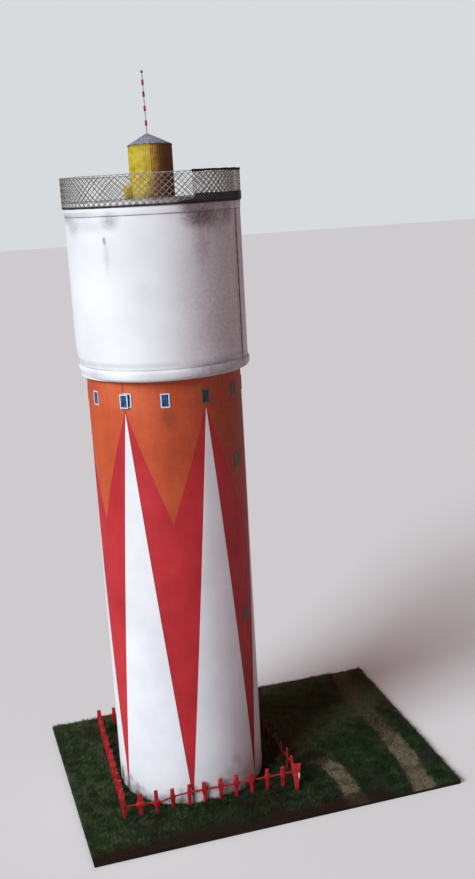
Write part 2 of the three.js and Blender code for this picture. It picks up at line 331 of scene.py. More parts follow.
# Gives a shader its colour, and a tooth whose size and depth are in mm
def paintOn(tree, shader, where, colour, size, depth):
    tree.links.new(colour, shader.inputs["Base Color"])
    field = addNode(tree, "ShaderNodeTexNoise", {"Vector": where, "Scale": 1 / (size * mm), "Detail": 2.0})
    tooth = addNode(tree, "ShaderNodeBump", {
        "Height": field.outputs["Fac"], "Distance": depth * mm, "Strength": 1.0,
    })
    tree.links.new(tooth.outputs["Normal"], shader.inputs["Normal"])


# Roughness that follows a pattern
def varyGloss(tree, shader, pattern, atLow, atHigh):
    gloss = addNode(tree, "ShaderNodeMapRange", {"Value": pattern, "To Min": atLow, "To Max": atHigh})
    tree.links.new(gloss.outputs["Result"], shader.inputs["Roughness"])


# A thin coat of paint or ink: patches of a few tones over a fine tooth, with their sizes in mm
def thinCoat(name, size, stops, tooth, levels=(0.3, 0.7), detail=3.0, gloss=None, **sockets):
    material, tree, shader, where = startMaterial(name, **sockets)
    pattern = patches(tree, where, size, *levels, detail)
    tone = addNode(tree, "ShaderNodeValToRGB", {"Fac": pattern}, stops)
    paintOn(tree, shader, where, tone.outputs["Color"], *tooth)
    if gloss:
        varyGloss(tree, shader, pattern, *gloss)
    return material


# Camera, floor and light

cameraView = {
    "place": (-115.41, -508.53, 300.83),  # mm
    "heading": 16.52,  # degrees from +Y towards +X
    "pitch": 13.21,  # below the horizon
    "roll": -3.22,
    "lens": 44.31,
}
bpy.ops.object.camera_add()
camera = bpy.context.object
camera.data.lens = cameraView["lens"]
camera.matrix_world = (
    Matrix.Translation(Vector(cameraView["place"]) * mm)
    @ Matrix.Rotation(math.radians(-cameraView["heading"]), 4, "Z")
    @ Matrix.Rotation(math.radians(90 - cameraView["pitch"]), 4, "X")
    @ Matrix.Rotation(math.radians(cameraView["roll"]), 4, "Z")
)
bpy.context.scene.camera = camera

studio = {
    "floorSize": 12.0,  # metres
    "floorColour": "e8e9e9",
    "floorBounce": "d0cdce",  # what the floor gives back to the model
    "skySeen": "d8dbdd",
    "skyLight": "ffbfc4",
    "skyStrength": 0.15,
    "keyTurn": -62,  # degrees round the tower
    "keyRise": 33,
    "keyStrength": 3.45,
    "keySoftness": 30,  # degrees across
    "keyColour": "f0fbff",
    "fillStrength": 0.3,
    "fillSoftness": 70,
    "fillColour": "ffe4e0",
}
bpy.context.scene.view_settings.view_transform = "Standard"


# The camera sees one shader, and light that bounces back to the model takes the other
def splitRays(tree, bounced, seen, ending):
    paths = addNode(tree, "ShaderNodeLightPath")
    split = addNode(tree, "ShaderNodeMixShader", {
        0: paths.outputs["Is Camera Ray"], 1: bounced.outputs[0], 2: seen.outputs[0],
    })
    tree.links.new(split.outputs[0], tree.nodes[ending].inputs["Surface"])


bpy.ops.mesh.primitive_plane_add(size=studio["floorSize"])
floor = bpy.context.object
floor.name = "studioFloor"
floorMaterial = bpy.data.materials.new("matt pale studio floor")
floorMaterial.use_nodes = True
floorTree = floorMaterial.node_tree
floorTree.nodes.remove(floorTree.nodes["Principled BSDF"])
seen = addNode(floorTree, "ShaderNodeBsdfDiffuse", {"Color": hexColor(studio["floorColour"])})
bounced = addNode(floorTree, "ShaderNodeBsdfDiffuse", {"Color": hexColor(studio["floorBounce"])})
splitRays(floorTree, bounced, seen, "Material Output")
floor.data.materials.append(floorMaterial)

world = bpy.data.worlds.new("studio")
bpy.context.scene.world = world
world.use_nodes = True
worldTree = world.node_tree
lit = worldTree.nodes["Background"]
lit.inputs["Color"].default_value = hexColor(studio["skyLight"])
lit.inputs["Strength"].default_value = studio["skyStrength"]
shown = addNode(worldTree, "ShaderNodeBackground", {"Color": hexColor(studio["skySeen"]), "Strength": 1.0})
splitRays(worldTree, lit, shown, "World Output")

keyRise = math.radians(studio["keyRise"])
towardsKey = onTower(math.cos(keyRise), studio["keyTurn"], math.sin(keyRise))
for light, towards in (("key", towardsKey), ("fill", Vector((0, 0, 1)))):
    bpy.ops.object.light_add(type="SUN", rotation=towards.to_track_quat("Z", "Y").to_euler())
    lamp = bpy.context.object
    lamp.name = light
    lamp.data.energy = studio[light + "Strength"]
    lamp.data.angle = math.radians(studio[light + "Softness"])
    lamp.data.color = hexColor(studio[light + "Colour"])[:3]
print("camera, floor and light ready")


# Base board: thin board, its edges brushed with matt dark brown paint

boardSlab = {"edgeRound": 0.25, "roundSteps": 3}


# Board paint: matt and streaked along the edges, chipped to the board in a few places
def boardPaint():
    material, tree, shader, where = startMaterial(
        "brushed matt brown paint on thin board", Roughness=0.85, Specular_IOR_Level=0.12,
    )
    stretch = (0.12, 0.12, 1.6)  # brush strokes run along the board's edges
    streaks = addNode(tree, "ShaderNodeMapping", {"Vector": where, "Scale": stretch}).outputs[0]
    worn = patches(tree, streaks, 2.0, 0.3, 0.75)
    brush = addNode(tree, "ShaderNodeValToRGB", {"Fac": worn}, [
        (0.0, "160f0c"), (0.5, "241913"), (1.0, "36261d"),
    ])
    chips = patches(tree, where, 3.5, 0.66, 0.74)
    chipped = laidOver(tree, brush.outputs["Color"], [(chips, "4a382b")])
    paintOn(tree, shader, streaks, chipped, 0.8, 0.08)
    return material


low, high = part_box("base_board")
slab = boxAt((low + high) / 2, high - low)
for corner in slab.data.vertices:  # the right end takes the CAD board's own corners
    if corner.co.x > 0:
        corner.co = min(cornersOf("base_board"), key=lambda place: (place - corner.co).length)
roundEdges(slab, boardSlab["edgeRound"] * mm, boardSlab["roundSteps"])
smoothShade(slab)
finishPiece(slab, "boardSlab", [boardPaint()], ["base_board"])
print("board ready")


# Fence: moulded styrene pickets and rails in thick bright red enamel, with blobs where they are joined

fenceRow = {
    "picketWidth": 2.0,
    "picketDepth": 0.8,
    "headWidth": 0.98,  # shares of the width
    "footWidth": 0.84,
    "headSpread": (0.85, 1.15),  # shares of a picket's head and blob, from one to the next
    "blobSpread": (0.4, 1.5),
    "blobWidth": 0.6,  # more at the upper rail
    "blobDepth": 0.8,  # of what it adds to the width
    "blobHeight": 1.5,
    "edgeRound": 0.16,
    "cuts": 10,
    "railHeight": 0.78,
    "railDepth": 0.6,
    "railRound": 0.14,
    "railFeet": (-0.5, 8.1),
    "railGap": 0.7,
    "railCuts": 36,
    "railWaves": ((0.28, 9), (0.2, 7)),  # how far it wanders up and out, and over what length
    "railSag": {0: -1.2, 1: -1.4, 2: -2.1, 3: -0.7, 4: 0},  # of the front panel's upper rail, by picket
    "thickPicket": {"number": 1, "head": 1.4, "blob": 1.2},  # one front picket is clogged with glue
    "cornerHead": 2.3,  # the wide post at the front right corner
    "cornerShift": -0.8,  # mm to the right
    "cornerLean": (-1.2, -3.6),  # mm that its foot stands to the right and to the back of its head
    "chip": (-0.05, -2.1, 6.3, 1.4, 6.6),  # right, back and up from the corner's foot, its width and height
    "chipStrength": 4.0,  # past 1, so that the chip and its painted highlight have a firm edge
    "shaded": (-32, -17),  # Y in mm where the tower's shadow is painted onto the right panel
    "shadedFrom": 4,  # mm to the left of the front right corner
    "dirtRise": 3.0,  # of the darker paint at the foot
    "leftPickets": 2.2,  # times as thick, in the left panel
    "tiltMost": 2.0,  # degrees
    "turnMost": 6,
    "heightSpread": 0.4,
    "heightShares": (-1, 0.2),  # of that spread
    "bays": {"fence_front": 11, "fence_back": 10, "fence_left": 12, "fence_right": 12},
}


# Enamel: half glossy, brighter where it lies thick and darker at the foot, with the tower's shadow painted
# on the far right. One chip down to the styrene also stands for a painted highlight on the corner post
def fenceEnamel():
    material, tree, shader, where = startMaterial("red enamel brushed on moulded styrene")
    thick = patches(tree, where, 2.2, 0.3, 0.7)
    paint = addNode(tree, "ShaderNodeValToRGB", {"Fac": thick}, [
        (0.0, "86141b"), (0.45, "a81a23"), (0.8, "ba2529"), (1.0, "c83c37"),
    ])
    place = addNode(tree, "ShaderNodeSeparateXYZ", {0: where})
    # Darker at the foot, in the grass
    foot = addNode(tree, "ShaderNodeMapRange", {
        "Value": place.outputs["Z"], "From Min": ground + fenceRow["dirtRise"] * mm, "From Max": ground,
        "To Max": 0.75,
    })
    # The tower's shadow, painted: a dull dark red over the right panel towards the back
    paintedShadowX = frontRight.x - fenceRow["shadedFrom"] * mm
    right = addNode(tree, "ShaderNodeMath", {0: place.outputs["X"], 1: paintedShadowX}, operation="GREATER_THAN")
    back = addNode(tree, "ShaderNodeMapRange", {
        "Value": place.outputs["Y"], "From Min": fenceRow["shaded"][0] * mm,
        "From Max": fenceRow["shaded"][1] * mm, "To Max": 0.85,
    })
    shaded = addNode(tree, "ShaderNodeMath", {
        0: right.outputs[0], 1: back.outputs["Result"],
    }, operation="MULTIPLY")
    # A cream chip down to the styrene on the corner post, which also stands for a painted highlight on its
    # edge
    chipAndHighlightPlace = frontRight + Vector(fenceRow["chip"][:3]) * mm
    chip = smudge(tree, where, chipAndHighlightPlace, *fenceRow["chip"][3:], fenceRow["chipStrength"])
    chipped = addNode(tree, "ShaderNodeMath", {0: chip, 1: 1.0}, operation="MINIMUM")
    colour = laidOver(tree, paint.outputs[0], [
        (foot.outputs["Result"], "4b1c15"), (shaded.outputs[0], "3a1715"), (chipped.outputs[0], "ead9c2"),
    ])
    paintOn(tree, shader, where, colour, 0.5, 0.05)
    varyGloss(tree, shader, thick, 0.52, 0.36)
    return material


def staveShape(height):
    size = (fenceRow["picketWidth"] * mm, fenceRow["picketDepth"] * mm, height)
    stave = boxAt((0, 0, height / 2), size)
    roundEdges(stave, fenceRow["edgeRound"] * mm)
    cutAlong(stave, "z", fenceRow["cuts"])
    return stave


# Widens a stave from its foot to its head, with a blob of enamel and glue at the upper rail
def swell(stave, height, head, blob, sag=0):
    joint = (fenceRow["railFeet"][1] + fenceRow["railHeight"] / 2 + sag) * mm
    for corner in stave.data.vertices:
        share = corner.co.z / height
        glue = blob * math.exp(-((corner.co.z - joint) / (fenceRow["blobHeight"] * mm)) ** 2)
        corner.co.x *= fenceRow["footWidth"] * (1 - share) + head * share + glue
        corner.co.y *= 1 + glue * fenceRow["blobDepth"]
    stave.data.update()


# How far the upper rail sags at a picket, or between two of them
def sagAt(number):
    places = fenceRow["railSag"]
    before = min(int(number), len(places) - 1)
    after = min(before + 1, len(places) - 1)
    return places[before] + (places[after] - places[before]) * min(number - before, 1)


def railShape(length, foot):
    height, depth = fenceRow["railHeight"] * mm, fenceRow["railDepth"] * mm
    bar = boxAt((length / 2, 0, foot + height / 2), (length, depth, height))
    cutAlong(bar, "x", fenceRow["railCuts"])
    shift = random.uniform(0, 50)
    (rise, riseLength), (swing, swingLength) = fenceRow["railWaves"]
    for corner in bar.data.vertices:
        corner.co.z += rise * mm * noise.noise(Vector((corner.co.x / (riseLength * mm), shift, 0)))
        corner.co.y += swing * mm * noise.noise(Vector((corner.co.x / (swingLength * mm), shift, 5)))
    roundEdges(bar, fenceRow["railRound"] * mm)
    return bar


# A panel is modelled along X from its first corner, then turned and set between its two corners
def fencePanel(node, start, end):
    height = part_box("fence_front")[1].z - ground
    way = end - start
    bays = fenceRow["bays"][node]
    isFront = node == "fence_front"
    hasCorners = isFront or node == "fence_back"
    numbers = range(bays + 1) if hasCorners else range(1, bays)
    parts = []
    pattern = staveShape(height)
    for number in numbers:
        stave = copyOf(pattern)
        isWide = isFront and number == bays
        isThick = isFront and number == fenceRow["thickPicket"]["number"]
        head = fenceRow["headWidth"] * random.uniform(*fenceRow["headSpread"])
        blob = fenceRow["blobWidth"] * random.uniform(*fenceRow["blobSpread"])
        if isWide:
            head, blob = fenceRow["cornerHead"], 0
        elif isThick:
            head, blob = fenceRow["thickPicket"]["head"], fenceRow["thickPicket"]["blob"]
        swell(stave, height, head, blob, sagAt(number) if isFront else 0)
        stave.location.x = way.length * number / bays
        mostTurns = (fenceRow["tiltMost"], fenceRow["tiltMost"], fenceRow["turnMost"])
        stave.rotation_euler = [math.radians(random.uniform(-1, 1) * most) for most in mostTurns]
        spread = random.uniform(*fenceRow["heightShares"]) * fenceRow["heightSpread"] * mm
        stave.scale.z = 1 + spread / height
        if node == "fence_left":
            stave.scale.y = fenceRow["leftPickets"]
        if isWide:
            placeInMesh(stave)
            for corner in stave.data.vertices:
                low = 1 - corner.co.z / height
                corner.co.x += (fenceRow["cornerShift"] + fenceRow["cornerLean"][0] * low) * mm
                corner.co.y += fenceRow["cornerLean"][1] * mm * low
        parts.append(stave)
    bpy.data.objects.remove(pattern)
    gap = 0 if hasCorners else fenceRow["railGap"] * mm
    for foot in fenceRow["railFeet"]:
        bar = railShape(way.length - 2 * gap, foot * mm)
        bar.location.x = gap
        if isFront and foot == fenceRow["railFeet"][1]:
            for corner in bar.data.vertices:
                corner.co.z += sagAt(bays * corner.co.x / way.length) * mm
        parts.append(bar)
    panel = joined(parts)
    panel.rotation_euler.z = math.atan2(way.y, way.x)
    panel.location = start
    placeInMesh(panel)
    return panel


# The foot of a panel's corner post, at its left end (-1) or its right end (1)
def cornerFoot(node, side):
    low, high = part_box(node)
    half = fenceRow["picketWidth"] * mm / 2
    reach = 1.1 * half  # a little past the post's own sides
    x = low.x + half if side < 0 else high.x - half
    near = [corner.y for corner in cornersOf(node) if abs(corner.x - x) < reach]
    return Vector((x, sum(near) / len(near), ground))


frontLeft, frontRight = cornerFoot("fence_front", -1), cornerFoot("fence_front", 1)
backLeft, backRight = cornerFoot("fence_back", -1), cornerFoot("fence_back", 1)
enamel = fenceEnamel()
fenceRuns = {
    "fence_front": (frontLeft, frontRight),
    "fence_back": (backLeft, backRight),
    "fence_left": (frontLeft, backLeft),
    "fence_right": (frontRight, backRight),
}
for node, (start, end) in fenceRuns.items():
    panel = fencePanel(node, start, end)
    smoothShade(panel, 50)
    finishPiece(panel, camelName(node), [enamel], [node])
print("fence ready")


# Ground: glued flock, earth and sand in sheets, with static grass and grit scattered on them

groundCover = {
    "cell": 1.2,
    "turf": {"height": 0.6, "uneven": 0.5, "lumps": 9},  # the flocked sheet under the fibres
    "track": {"height": 0.45, "uneven": 0.3, "lumps": 5},
    "shaftClear": 36.4,  # the turf sheet stops inside the shaft's wall
    "steepest": 0.4,  # faces whose normals rise less carry no fibres and no grit
    "fibreWidth": 0.26,
    "fibreLength": 1.7,
    "gritWidth": 0.42,
}

# How the cover changes from place to place. A wave is how far it moves a value, the size of its lumps in mm
# and its own layer of the noise. An edge is where a value fades, beside the size or line that it goes with.
groundWear = {
    "marginDepth": 8.5,  # of the bare earth along the front edge
    "marginWaves": [(5, 9, 1), (3, 2.5, 9)],
    "marginEdge": (-3, 2),
    "marginEnd": 90,  # and how far it goes to the right
    "marginEndWave": (7, 8, 7),
    "marginEndEdge": (-6, 0),
    "barePatches": [  # middles and half sizes of the worn patches, and how bare they are
        (54, 22, 7, 52, 0.85), (108, 42, 9, 42, 0.75), (121, 40, 5, 42, 0.6),
        (84, 68, 16, 6, 0.5), (-46, 57, 8, 10, 0.5), (24, -47, 20, 7, 0.6), (-30, -44, 10, 5, 0.5),
        (5, 66, 24, 5, 0.6),
    ],
    "patchWaves": [(0.55, 8, 2), (0.35, 3, 3)],
    "patchEdge": (0.5, 1.15),
    "trackBare": 0.8,  # how brown the soil under the sand is
    "sandRuns": {"track_near": (-28, -14, 0.0), "track_far": (-24, 4, 0.38)},
    "sandWave": (2.2, 4, 4),
    "sandEdge": (-2.2, 1.8),
    "fadeWave": (5, 9, 5),
    "wornSand": {"most": 0.4, "lumps": (7, 6), "levels": (0.05, 0.45)},  # thin places on the tracks
    "marginSand": 0.8,  # how much less sand there is on the margin
    "hedge": 0.8,  # how much more the grass grows along the fence
    "hedgeReach": (1.5, 5),
    "growthWave": (0.4, 5, 8),
    "marginGrowth": 0.45,  # how much shorter the grass is on the margin
    "coverWave": (0.3, 5, 8),
    "bareCover": {"earth": 0.45, "margin": 0.85, "sand": 0.95},  # how much each one thins the grass
    "stray": (0.04, 0.35),  # least grass on a track, and how much more where it has no sand
    "leeWay": (0.883, 0.469),  # from the tower, to the right and back, the way the tower's shadow falls
    "leeAlong": (15, 40),  # how far from the axis that way the painted light on the grass starts, and is full
    "leeAcross": (28, 46),  # how far to its sides it is full, and reaches at all
    "leeBleach": 0.95,
    "leftBleach": 0.5,
    "leftReach": (20, -45),  # X where the painted light on the left starts, and is full
}


def blend(value, low, high):
    share = min(max((value - low) / (high - low), 0), 1)
    return share * share * (3 - 2 * share)


def noiseAt(place, size, layer):
    return noise.noise(Vector((place.x, place.y, 0)) / (size * mm) + Vector((0, 0, 3.7 * layer)))


# A value that is moved by waves of noise
def wander(place, start, *waves):
    for much, size, layer in waves:
        start += much * noiseAt(place, size, layer)
    return start


# A rule that gives a ground node's left and right edge at a Y, kept a hair inside its two ends
def edgesOf(node):
    low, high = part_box(node)
    hair = 0.01 * mm
    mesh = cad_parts[node].data
    ends = [[mesh.vertices[number].co for number in edge.vertices] for edge in mesh.edges]
    known = {}

    def at(y):
        row = round(min(max(y, low.y + hair), high.y - hair), 6)
        if row not in known:
            crossed = [(start, end) for start, end in ends if (start.y - row) * (end.y - row) < 0]
            places = [
                start.x + (end.x - start.x) * (row - start.y) / (end.y - start.y) for start, end in crossed
            ]
            known[row] = (min(places), max(places))
        return known[row]

    return at


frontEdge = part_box("base_board")[0].y
trackEdges = {node: edgesOf(node) for node in groundWear["sandRuns"]}


def marginAt(place):
    reach = wander(place, groundWear["marginDepth"], *groundWear["marginWaves"]) * mm
    end = wander(place, groundWear["marginEnd"], groundWear["marginEndWave"]) * mm
    nearer, further = groundWear["marginEdge"]
    left, right = groundWear["marginEndEdge"]
    depth = 1 - blend(place.y - frontEdge, reach + nearer * mm, reach + further * mm)
    return depth * (1 - blend(place.x, end + left * mm, end + right * mm))


def earthAt(place):
    bare = marginAt(place)
    ragged = wander(place, 0, *groundWear["patchWaves"])
    for x, y, halfWidth, halfDepth, strength in groundWear["barePatches"]:
        reach = math.hypot((place.x / mm - x) / halfWidth, (place.y / mm - y) / halfDepth)
        bare = max(bare, strength * (1 - blend(reach + ragged, *groundWear["patchEdge"])))
    return bare


# Sand lies over the whole track up to the fade's first Y, past its second Y only as much as is left, and
# a little beyond the track's edges
def sandAt(place):
    most = 0
    far, size, layer = groundWear["fadeWave"]
    worn = groundWear["wornSand"]
    for node, (fadeStart, fadeEnd, left) in groundWear["sandRuns"].items():
        trackLeft, trackRight = trackEdges[node](place.y)
        inside = min(place.x - trackLeft, trackRight - place.x) / mm
        inside = wander(place, inside, groundWear["sandWave"])
        faded = blend(place.y + far * mm * noiseAt(place, size, layer), fadeStart * mm, fadeEnd * mm)
        kept = 1 - worn["most"] * blend(noiseAt(place, *worn["lumps"]), *worn["levels"])
        most = max(most, blend(inside, *groundWear["sandEdge"]) * (1 - (1 - left) * faded) * kept)
    return most * (1 - groundWear["marginSand"] * marginAt(place))


def toFence(place):
    gaps = []
    for start, end in fenceRuns.values():
        way = (end - start).xy
        share = (place.xy - start.xy).dot(way) / way.length_squared
        nearest = start.xy + way * min(max(share, 0), 1)
        gaps.append((place.xy - nearest).length)
    return min(gaps)


def hedgeAt(place):
    near, far = groundWear["hedgeReach"]
    return groundWear["hedge"] * (1 - blend(toFence(place), near * mm, far * mm))


# How tall the fibres are: in clumps, higher along the fence and shorter on the margin
def growthAt(place):
    clump = wander(place, 1, groundWear["growthWave"])
    return clump * (1 + hedgeAt(place)) * (1 - groundWear["marginGrowth"] * marginAt(place))


# Painted light on the grass: lighter to the left, and to the right behind the tower where its shadow falls
def paintedLightAt(place):
    leeX, leeY = groundWear["leeWay"]
    along = (place.x * leeX + place.y * leeY) / mm
    across = abs(place.x * leeY - place.y * leeX) / mm
    lee = blend(along, *groundWear["leeAlong"]) * (1 - blend(across, *groundWear["leeAcross"]))
    left = blend(place.x / mm, *groundWear["leftReach"])
    paintedLightShare = max(groundWear["leftBleach"] * left, groundWear["leeBleach"] * lee)
    return paintedLightShare * (1 - marginAt(place))


# How densely the grass grows on the turf, and on a track
def grassAt(place):
    thins = groundWear["bareCover"]
    cover = 1 - thins["earth"] * earthAt(place) + hedgeAt(place)
    bare = thins["margin"] * marginAt(place) + thins["sand"] * sandAt(place)
    return cover * max(1 - bare, 0) * wander(place, 1, groundWear["coverWave"])


def strayAt(place):
    least, more = groundWear["stray"]
    return least + more * (1 - sandAt(place)) ** 2


def trackEarthAt(place):
    return max(groundWear["trackBare"], earthAt(place))


# A value from 0 to 1 at each corner of a sheet, read by its material and by what is scattered on it
def spreadValue(sheet, name, valueAt):
    values = sheet.data.attributes.new(name, "FLOAT", "POINT")
    for corner, value in zip(sheet.data.vertices, values.data):
        value.value = valueAt(corner.co)


# A sheet over a CAD node's outline: a grid that follows its two edges, thickened and made uneven on top
def groundSheet(node, height, uneven, lumps):
    low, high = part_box(node)
    edges = edgesOf(node)
    cell = groundCover["cell"] * mm
    columns = round((high.x - low.x) / cell)
    rows = round((high.y - low.y) / cell)
    bpy.ops.mesh.primitive_grid_add(x_subdivisions=columns, y_subdivisions=rows, size=1)
    sheet = bpy.context.object
    for corner in sheet.data.vertices:
        across, along = corner.co.x + 0.5, corner.co.y + 0.5
        y = low.y + (high.y - low.y) * along
        left, right = edges(y)
        corner.co = (left + (right - left) * across, y, boardTop)
    sheet.data.update()
    if node == "turf_tower_side":
        clear = groundCover["shaftClear"] * mm
        pick(sheet, "FACE", lambda centre, normal: math.hypot(centre.x, centre.y) < clear)
        bpy.ops.mesh.delete(type="FACE")
    pick(sheet, "FACE", lambda centre, normal: True)
    bpy.ops.mesh.extrude_region_move(TRANSFORM_OT_translate={"value": (0, 0, height * mm)})
    leaveEdit()
    top = sheet.vertex_groups.new(name="top")
    halfWay = boardTop + height * mm / 2
    top.add([corner.index for corner in sheet.data.vertices if corner.co.z > halfWay], 1.0, "REPLACE")
    clouds = bpy.data.textures.new("groundLumps", "CLOUDS")
    clouds.noise_scale = lumps * mm
    clouds.noise_depth = 3
    modify(sheet, "DISPLACE", texture=clouds, texture_coords="LOCAL", direction="Z", vertex_group="top",
           strength=uneven * mm, mid_level=0.5)
    fixNormals(sheet)
    smoothShade(sheet, 50)
    return sheet


# Scatters a crop's small shape over the sheet's upper faces, as densely as the crop's value says. Each
# copy grows as the sheet's growth says, and carries its own tone from 0 to 1.
def scatter(sheet, keep, crop, seed):
    emitter = copyOf(sheet)
    pick(emitter, "FACE", lambda centre, normal: normal.z < groundCover["steepest"] or not keep(centre))
    bpy.ops.mesh.delete(type="FACE")
    leaveEdit()
    tree = bpy.data.node_groups.new("scatter", "GeometryNodeTree")
    for way in ("INPUT", "OUTPUT"):
        tree.interface.new_socket(name="Geometry", in_out=way, socket_type="NodeSocketGeometry")
    start = addNode(tree, "NodeGroupInput")
    cover = addNode(tree, "GeometryNodeInputNamedAttribute", {"Name": crop["value"]}, data_type="FLOAT")
    density = addNode(tree, "ShaderNodeMath", {
        0: cover.outputs[0], 1: crop["perSquareMm"] / mm ** 2,
    }, operation="MULTIPLY")
    points = addNode(tree, "GeometryNodeDistributePointsOnFaces", {
        "Mesh": start.outputs[0], "Density": density.outputs[0], "Seed": seed,
    }, distribute_method="RANDOM")
    lean = crop["lean"]
    turns = addNode(tree, "FunctionNodeRandomValue", {
        0: (-lean, -lean, 0), 1: (lean, lean, 2 * math.pi), "Seed": seed + 1,
    }, data_type="FLOAT_VECTOR")
    rotation = addNode(tree, "FunctionNodeEulerToRotation", {0: turns.outputs[0]})
    least, most = crop["sizes"]
    spread = addNode(tree, "FunctionNodeRandomValue", {2: least, 3: most, "Seed": seed + 2})
    growth = addNode(tree, "GeometryNodeInputNamedAttribute", {"Name": "growth"}, data_type="FLOAT")
    size = addNode(tree, "ShaderNodeMath", {0: spread.outputs[1], 1: growth.outputs[0]}, operation="MULTIPLY")
    shape = addNode(tree, "GeometryNodeObjectInfo", {"Object": crop["shape"]})
    copies = addNode(tree, "GeometryNodeInstanceOnPoints", {
        "Points": points.outputs["Points"], "Instance": shape.outputs["Geometry"],
        "Rotation": rotation.outputs[0], "Scale": size.outputs[0],
    })
    shade = addNode(tree, "FunctionNodeRandomValue", {2: 0.0, 3: 1.0, "Seed": seed + 3})
    toned = addNode(tree, "GeometryNodeStoreNamedAttribute", {
        "Geometry": copies.outputs[0], "Name": "tone", "Value": shade.outputs[1],
    }, data_type="FLOAT", domain="INSTANCE")
    real = addNode(tree, "GeometryNodeRealizeInstances", {"Geometry": toned.outputs[0]})
    addNode(tree, "NodeGroupOutput", {0: real.outputs[0]})
    modify(emitter, "NODES", node_group=tree)
    emitter.data.materials.clear()
    return emitter


# Ground bed: green flock, brown earth and beige sand set in dried glue, seen between the fibres
def groundBed():
    material, tree, shader, where = startMaterial(
        "flock, earth and sand in dried glue", Roughness=0.95, Specular_IOR_Level=0.1,
    )
    earth, sand, bleach = (
        addNode(tree, "ShaderNodeAttribute", attribute_name=name).outputs["Fac"]
        for name in ("earth", "sand", "bleach")
    )
    speck = patches(tree, where, 0.6, 0.35, 0.7)
    green, brown, beige = (
        addNode(tree, "ShaderNodeValToRGB", {"Fac": speck}, stops).outputs[0]
        for stops in (
            [(0.0, "161d12"), (1.0, "2b3822")],
            [(0.0, "1d1410"), (1.0, "30241b")],
            [(0.0, "4d4637"), (0.6, "6f6853"), (1.0, "8c8369")],
        )
    )
    # Paler where light is painted on the ground
    colour = laidOver(tree, green, [(earth, brown), (bleach, "434a33"), (sand, beige)])
    paintOn(tree, shader, where, colour, 0.5, 0.25)
    return material


# Static grass: cut nylon fibres of several dull greens, with straw and earth tones where the soil is bare
def staticGrass():
    material, tree, shader, where = startMaterial("nylon static grass fibre", Specular_IOR_Level=0.15)
    tone, earth, bleach = (
        addNode(tree, "ShaderNodeAttribute", attribute_name=name).outputs["Fac"]
        for name in ("tone", "earth", "bleach")
    )
    clump = patches(tree, where, 5, 0.3, 0.7)
    # The painted light moves the fibres up to lighter tones
    shade = summed(tree, [(clump, 0.6), (tone, 0.48), (bleach, 0.6)])
    fresh = addNode(tree, "ShaderNodeValToRGB", {"Fac": shade}, [
        (0.0, "111d0f"), (0.3, "1f2f1a"), (0.65, "2e4024"), (0.92, "445436"), (1.0, "606849"),
    ])
    faded = patches(tree, where, 15, 0.52, 0.72)
    dry = addNode(tree, "ShaderNodeValToRGB", {"Fac": shade}, [
        (0.0, "1e1511"), (0.4, "2d211a"), (0.75, "3e3125"), (1.0, "5a4c39"),
    ])
    colour = laidOver(tree, fresh.outputs[0], [(faded, "3c3f35"), (earth, dry.outputs[0])])
    tree.links.new(colour, shader.inputs["Base Color"])
    varyGloss(tree, shader, patches(tree, where, 1.1, 0.3, 0.7), 0.62, 0.95)
    return material


# Grit: single grains of model ballast, from beige to grey brown
def ballastGrit():
    material, tree, shader, where = startMaterial("fine ballast grit", Roughness=0.9, Specular_IOR_Level=0.15)
    tone = addNode(tree, "ShaderNodeAttribute", attribute_name="tone")
    colour = addNode(tree, "ShaderNodeValToRGB", {"Fac": tone.outputs["Fac"]}, [
        (0.0, "453d30"), (0.45, "6c6450"), (0.85, "8a8168"), (1.0, "a89e86"),
    ])
    paintOn(tree, shader, where, colour.outputs[0], 0.2, 0.05)
    return material


bpy.ops.mesh.primitive_cone_add(
    vertices=3, radius1=groundCover["fibreWidth"] * mm / 2, radius2=0,
    depth=groundCover["fibreLength"] * mm, end_fill_type="NOTHING",
    location=(0, 0, groundCover["fibreLength"] * mm / 2),
)
fibre = bpy.context.object
placeInMesh(fibre)
bpy.ops.mesh.primitive_ico_sphere_add(subdivisions=1, radius=groundCover["gritWidth"] * mm / 2)
grain = bpy.context.object

# What is scattered: how far a copy leans in radians, and how its size varies
fibres = {"shape": fibre, "value": "grass", "perSquareMm": 6.5, "lean": 0.85, "sizes": (0.65, 1.2)}
grit = {"shape": grain, "value": "sand", "perSquareMm": 2.2, "lean": math.pi, "sizes": (0.5, 1.2)}


def everywhere(centre):
    return True


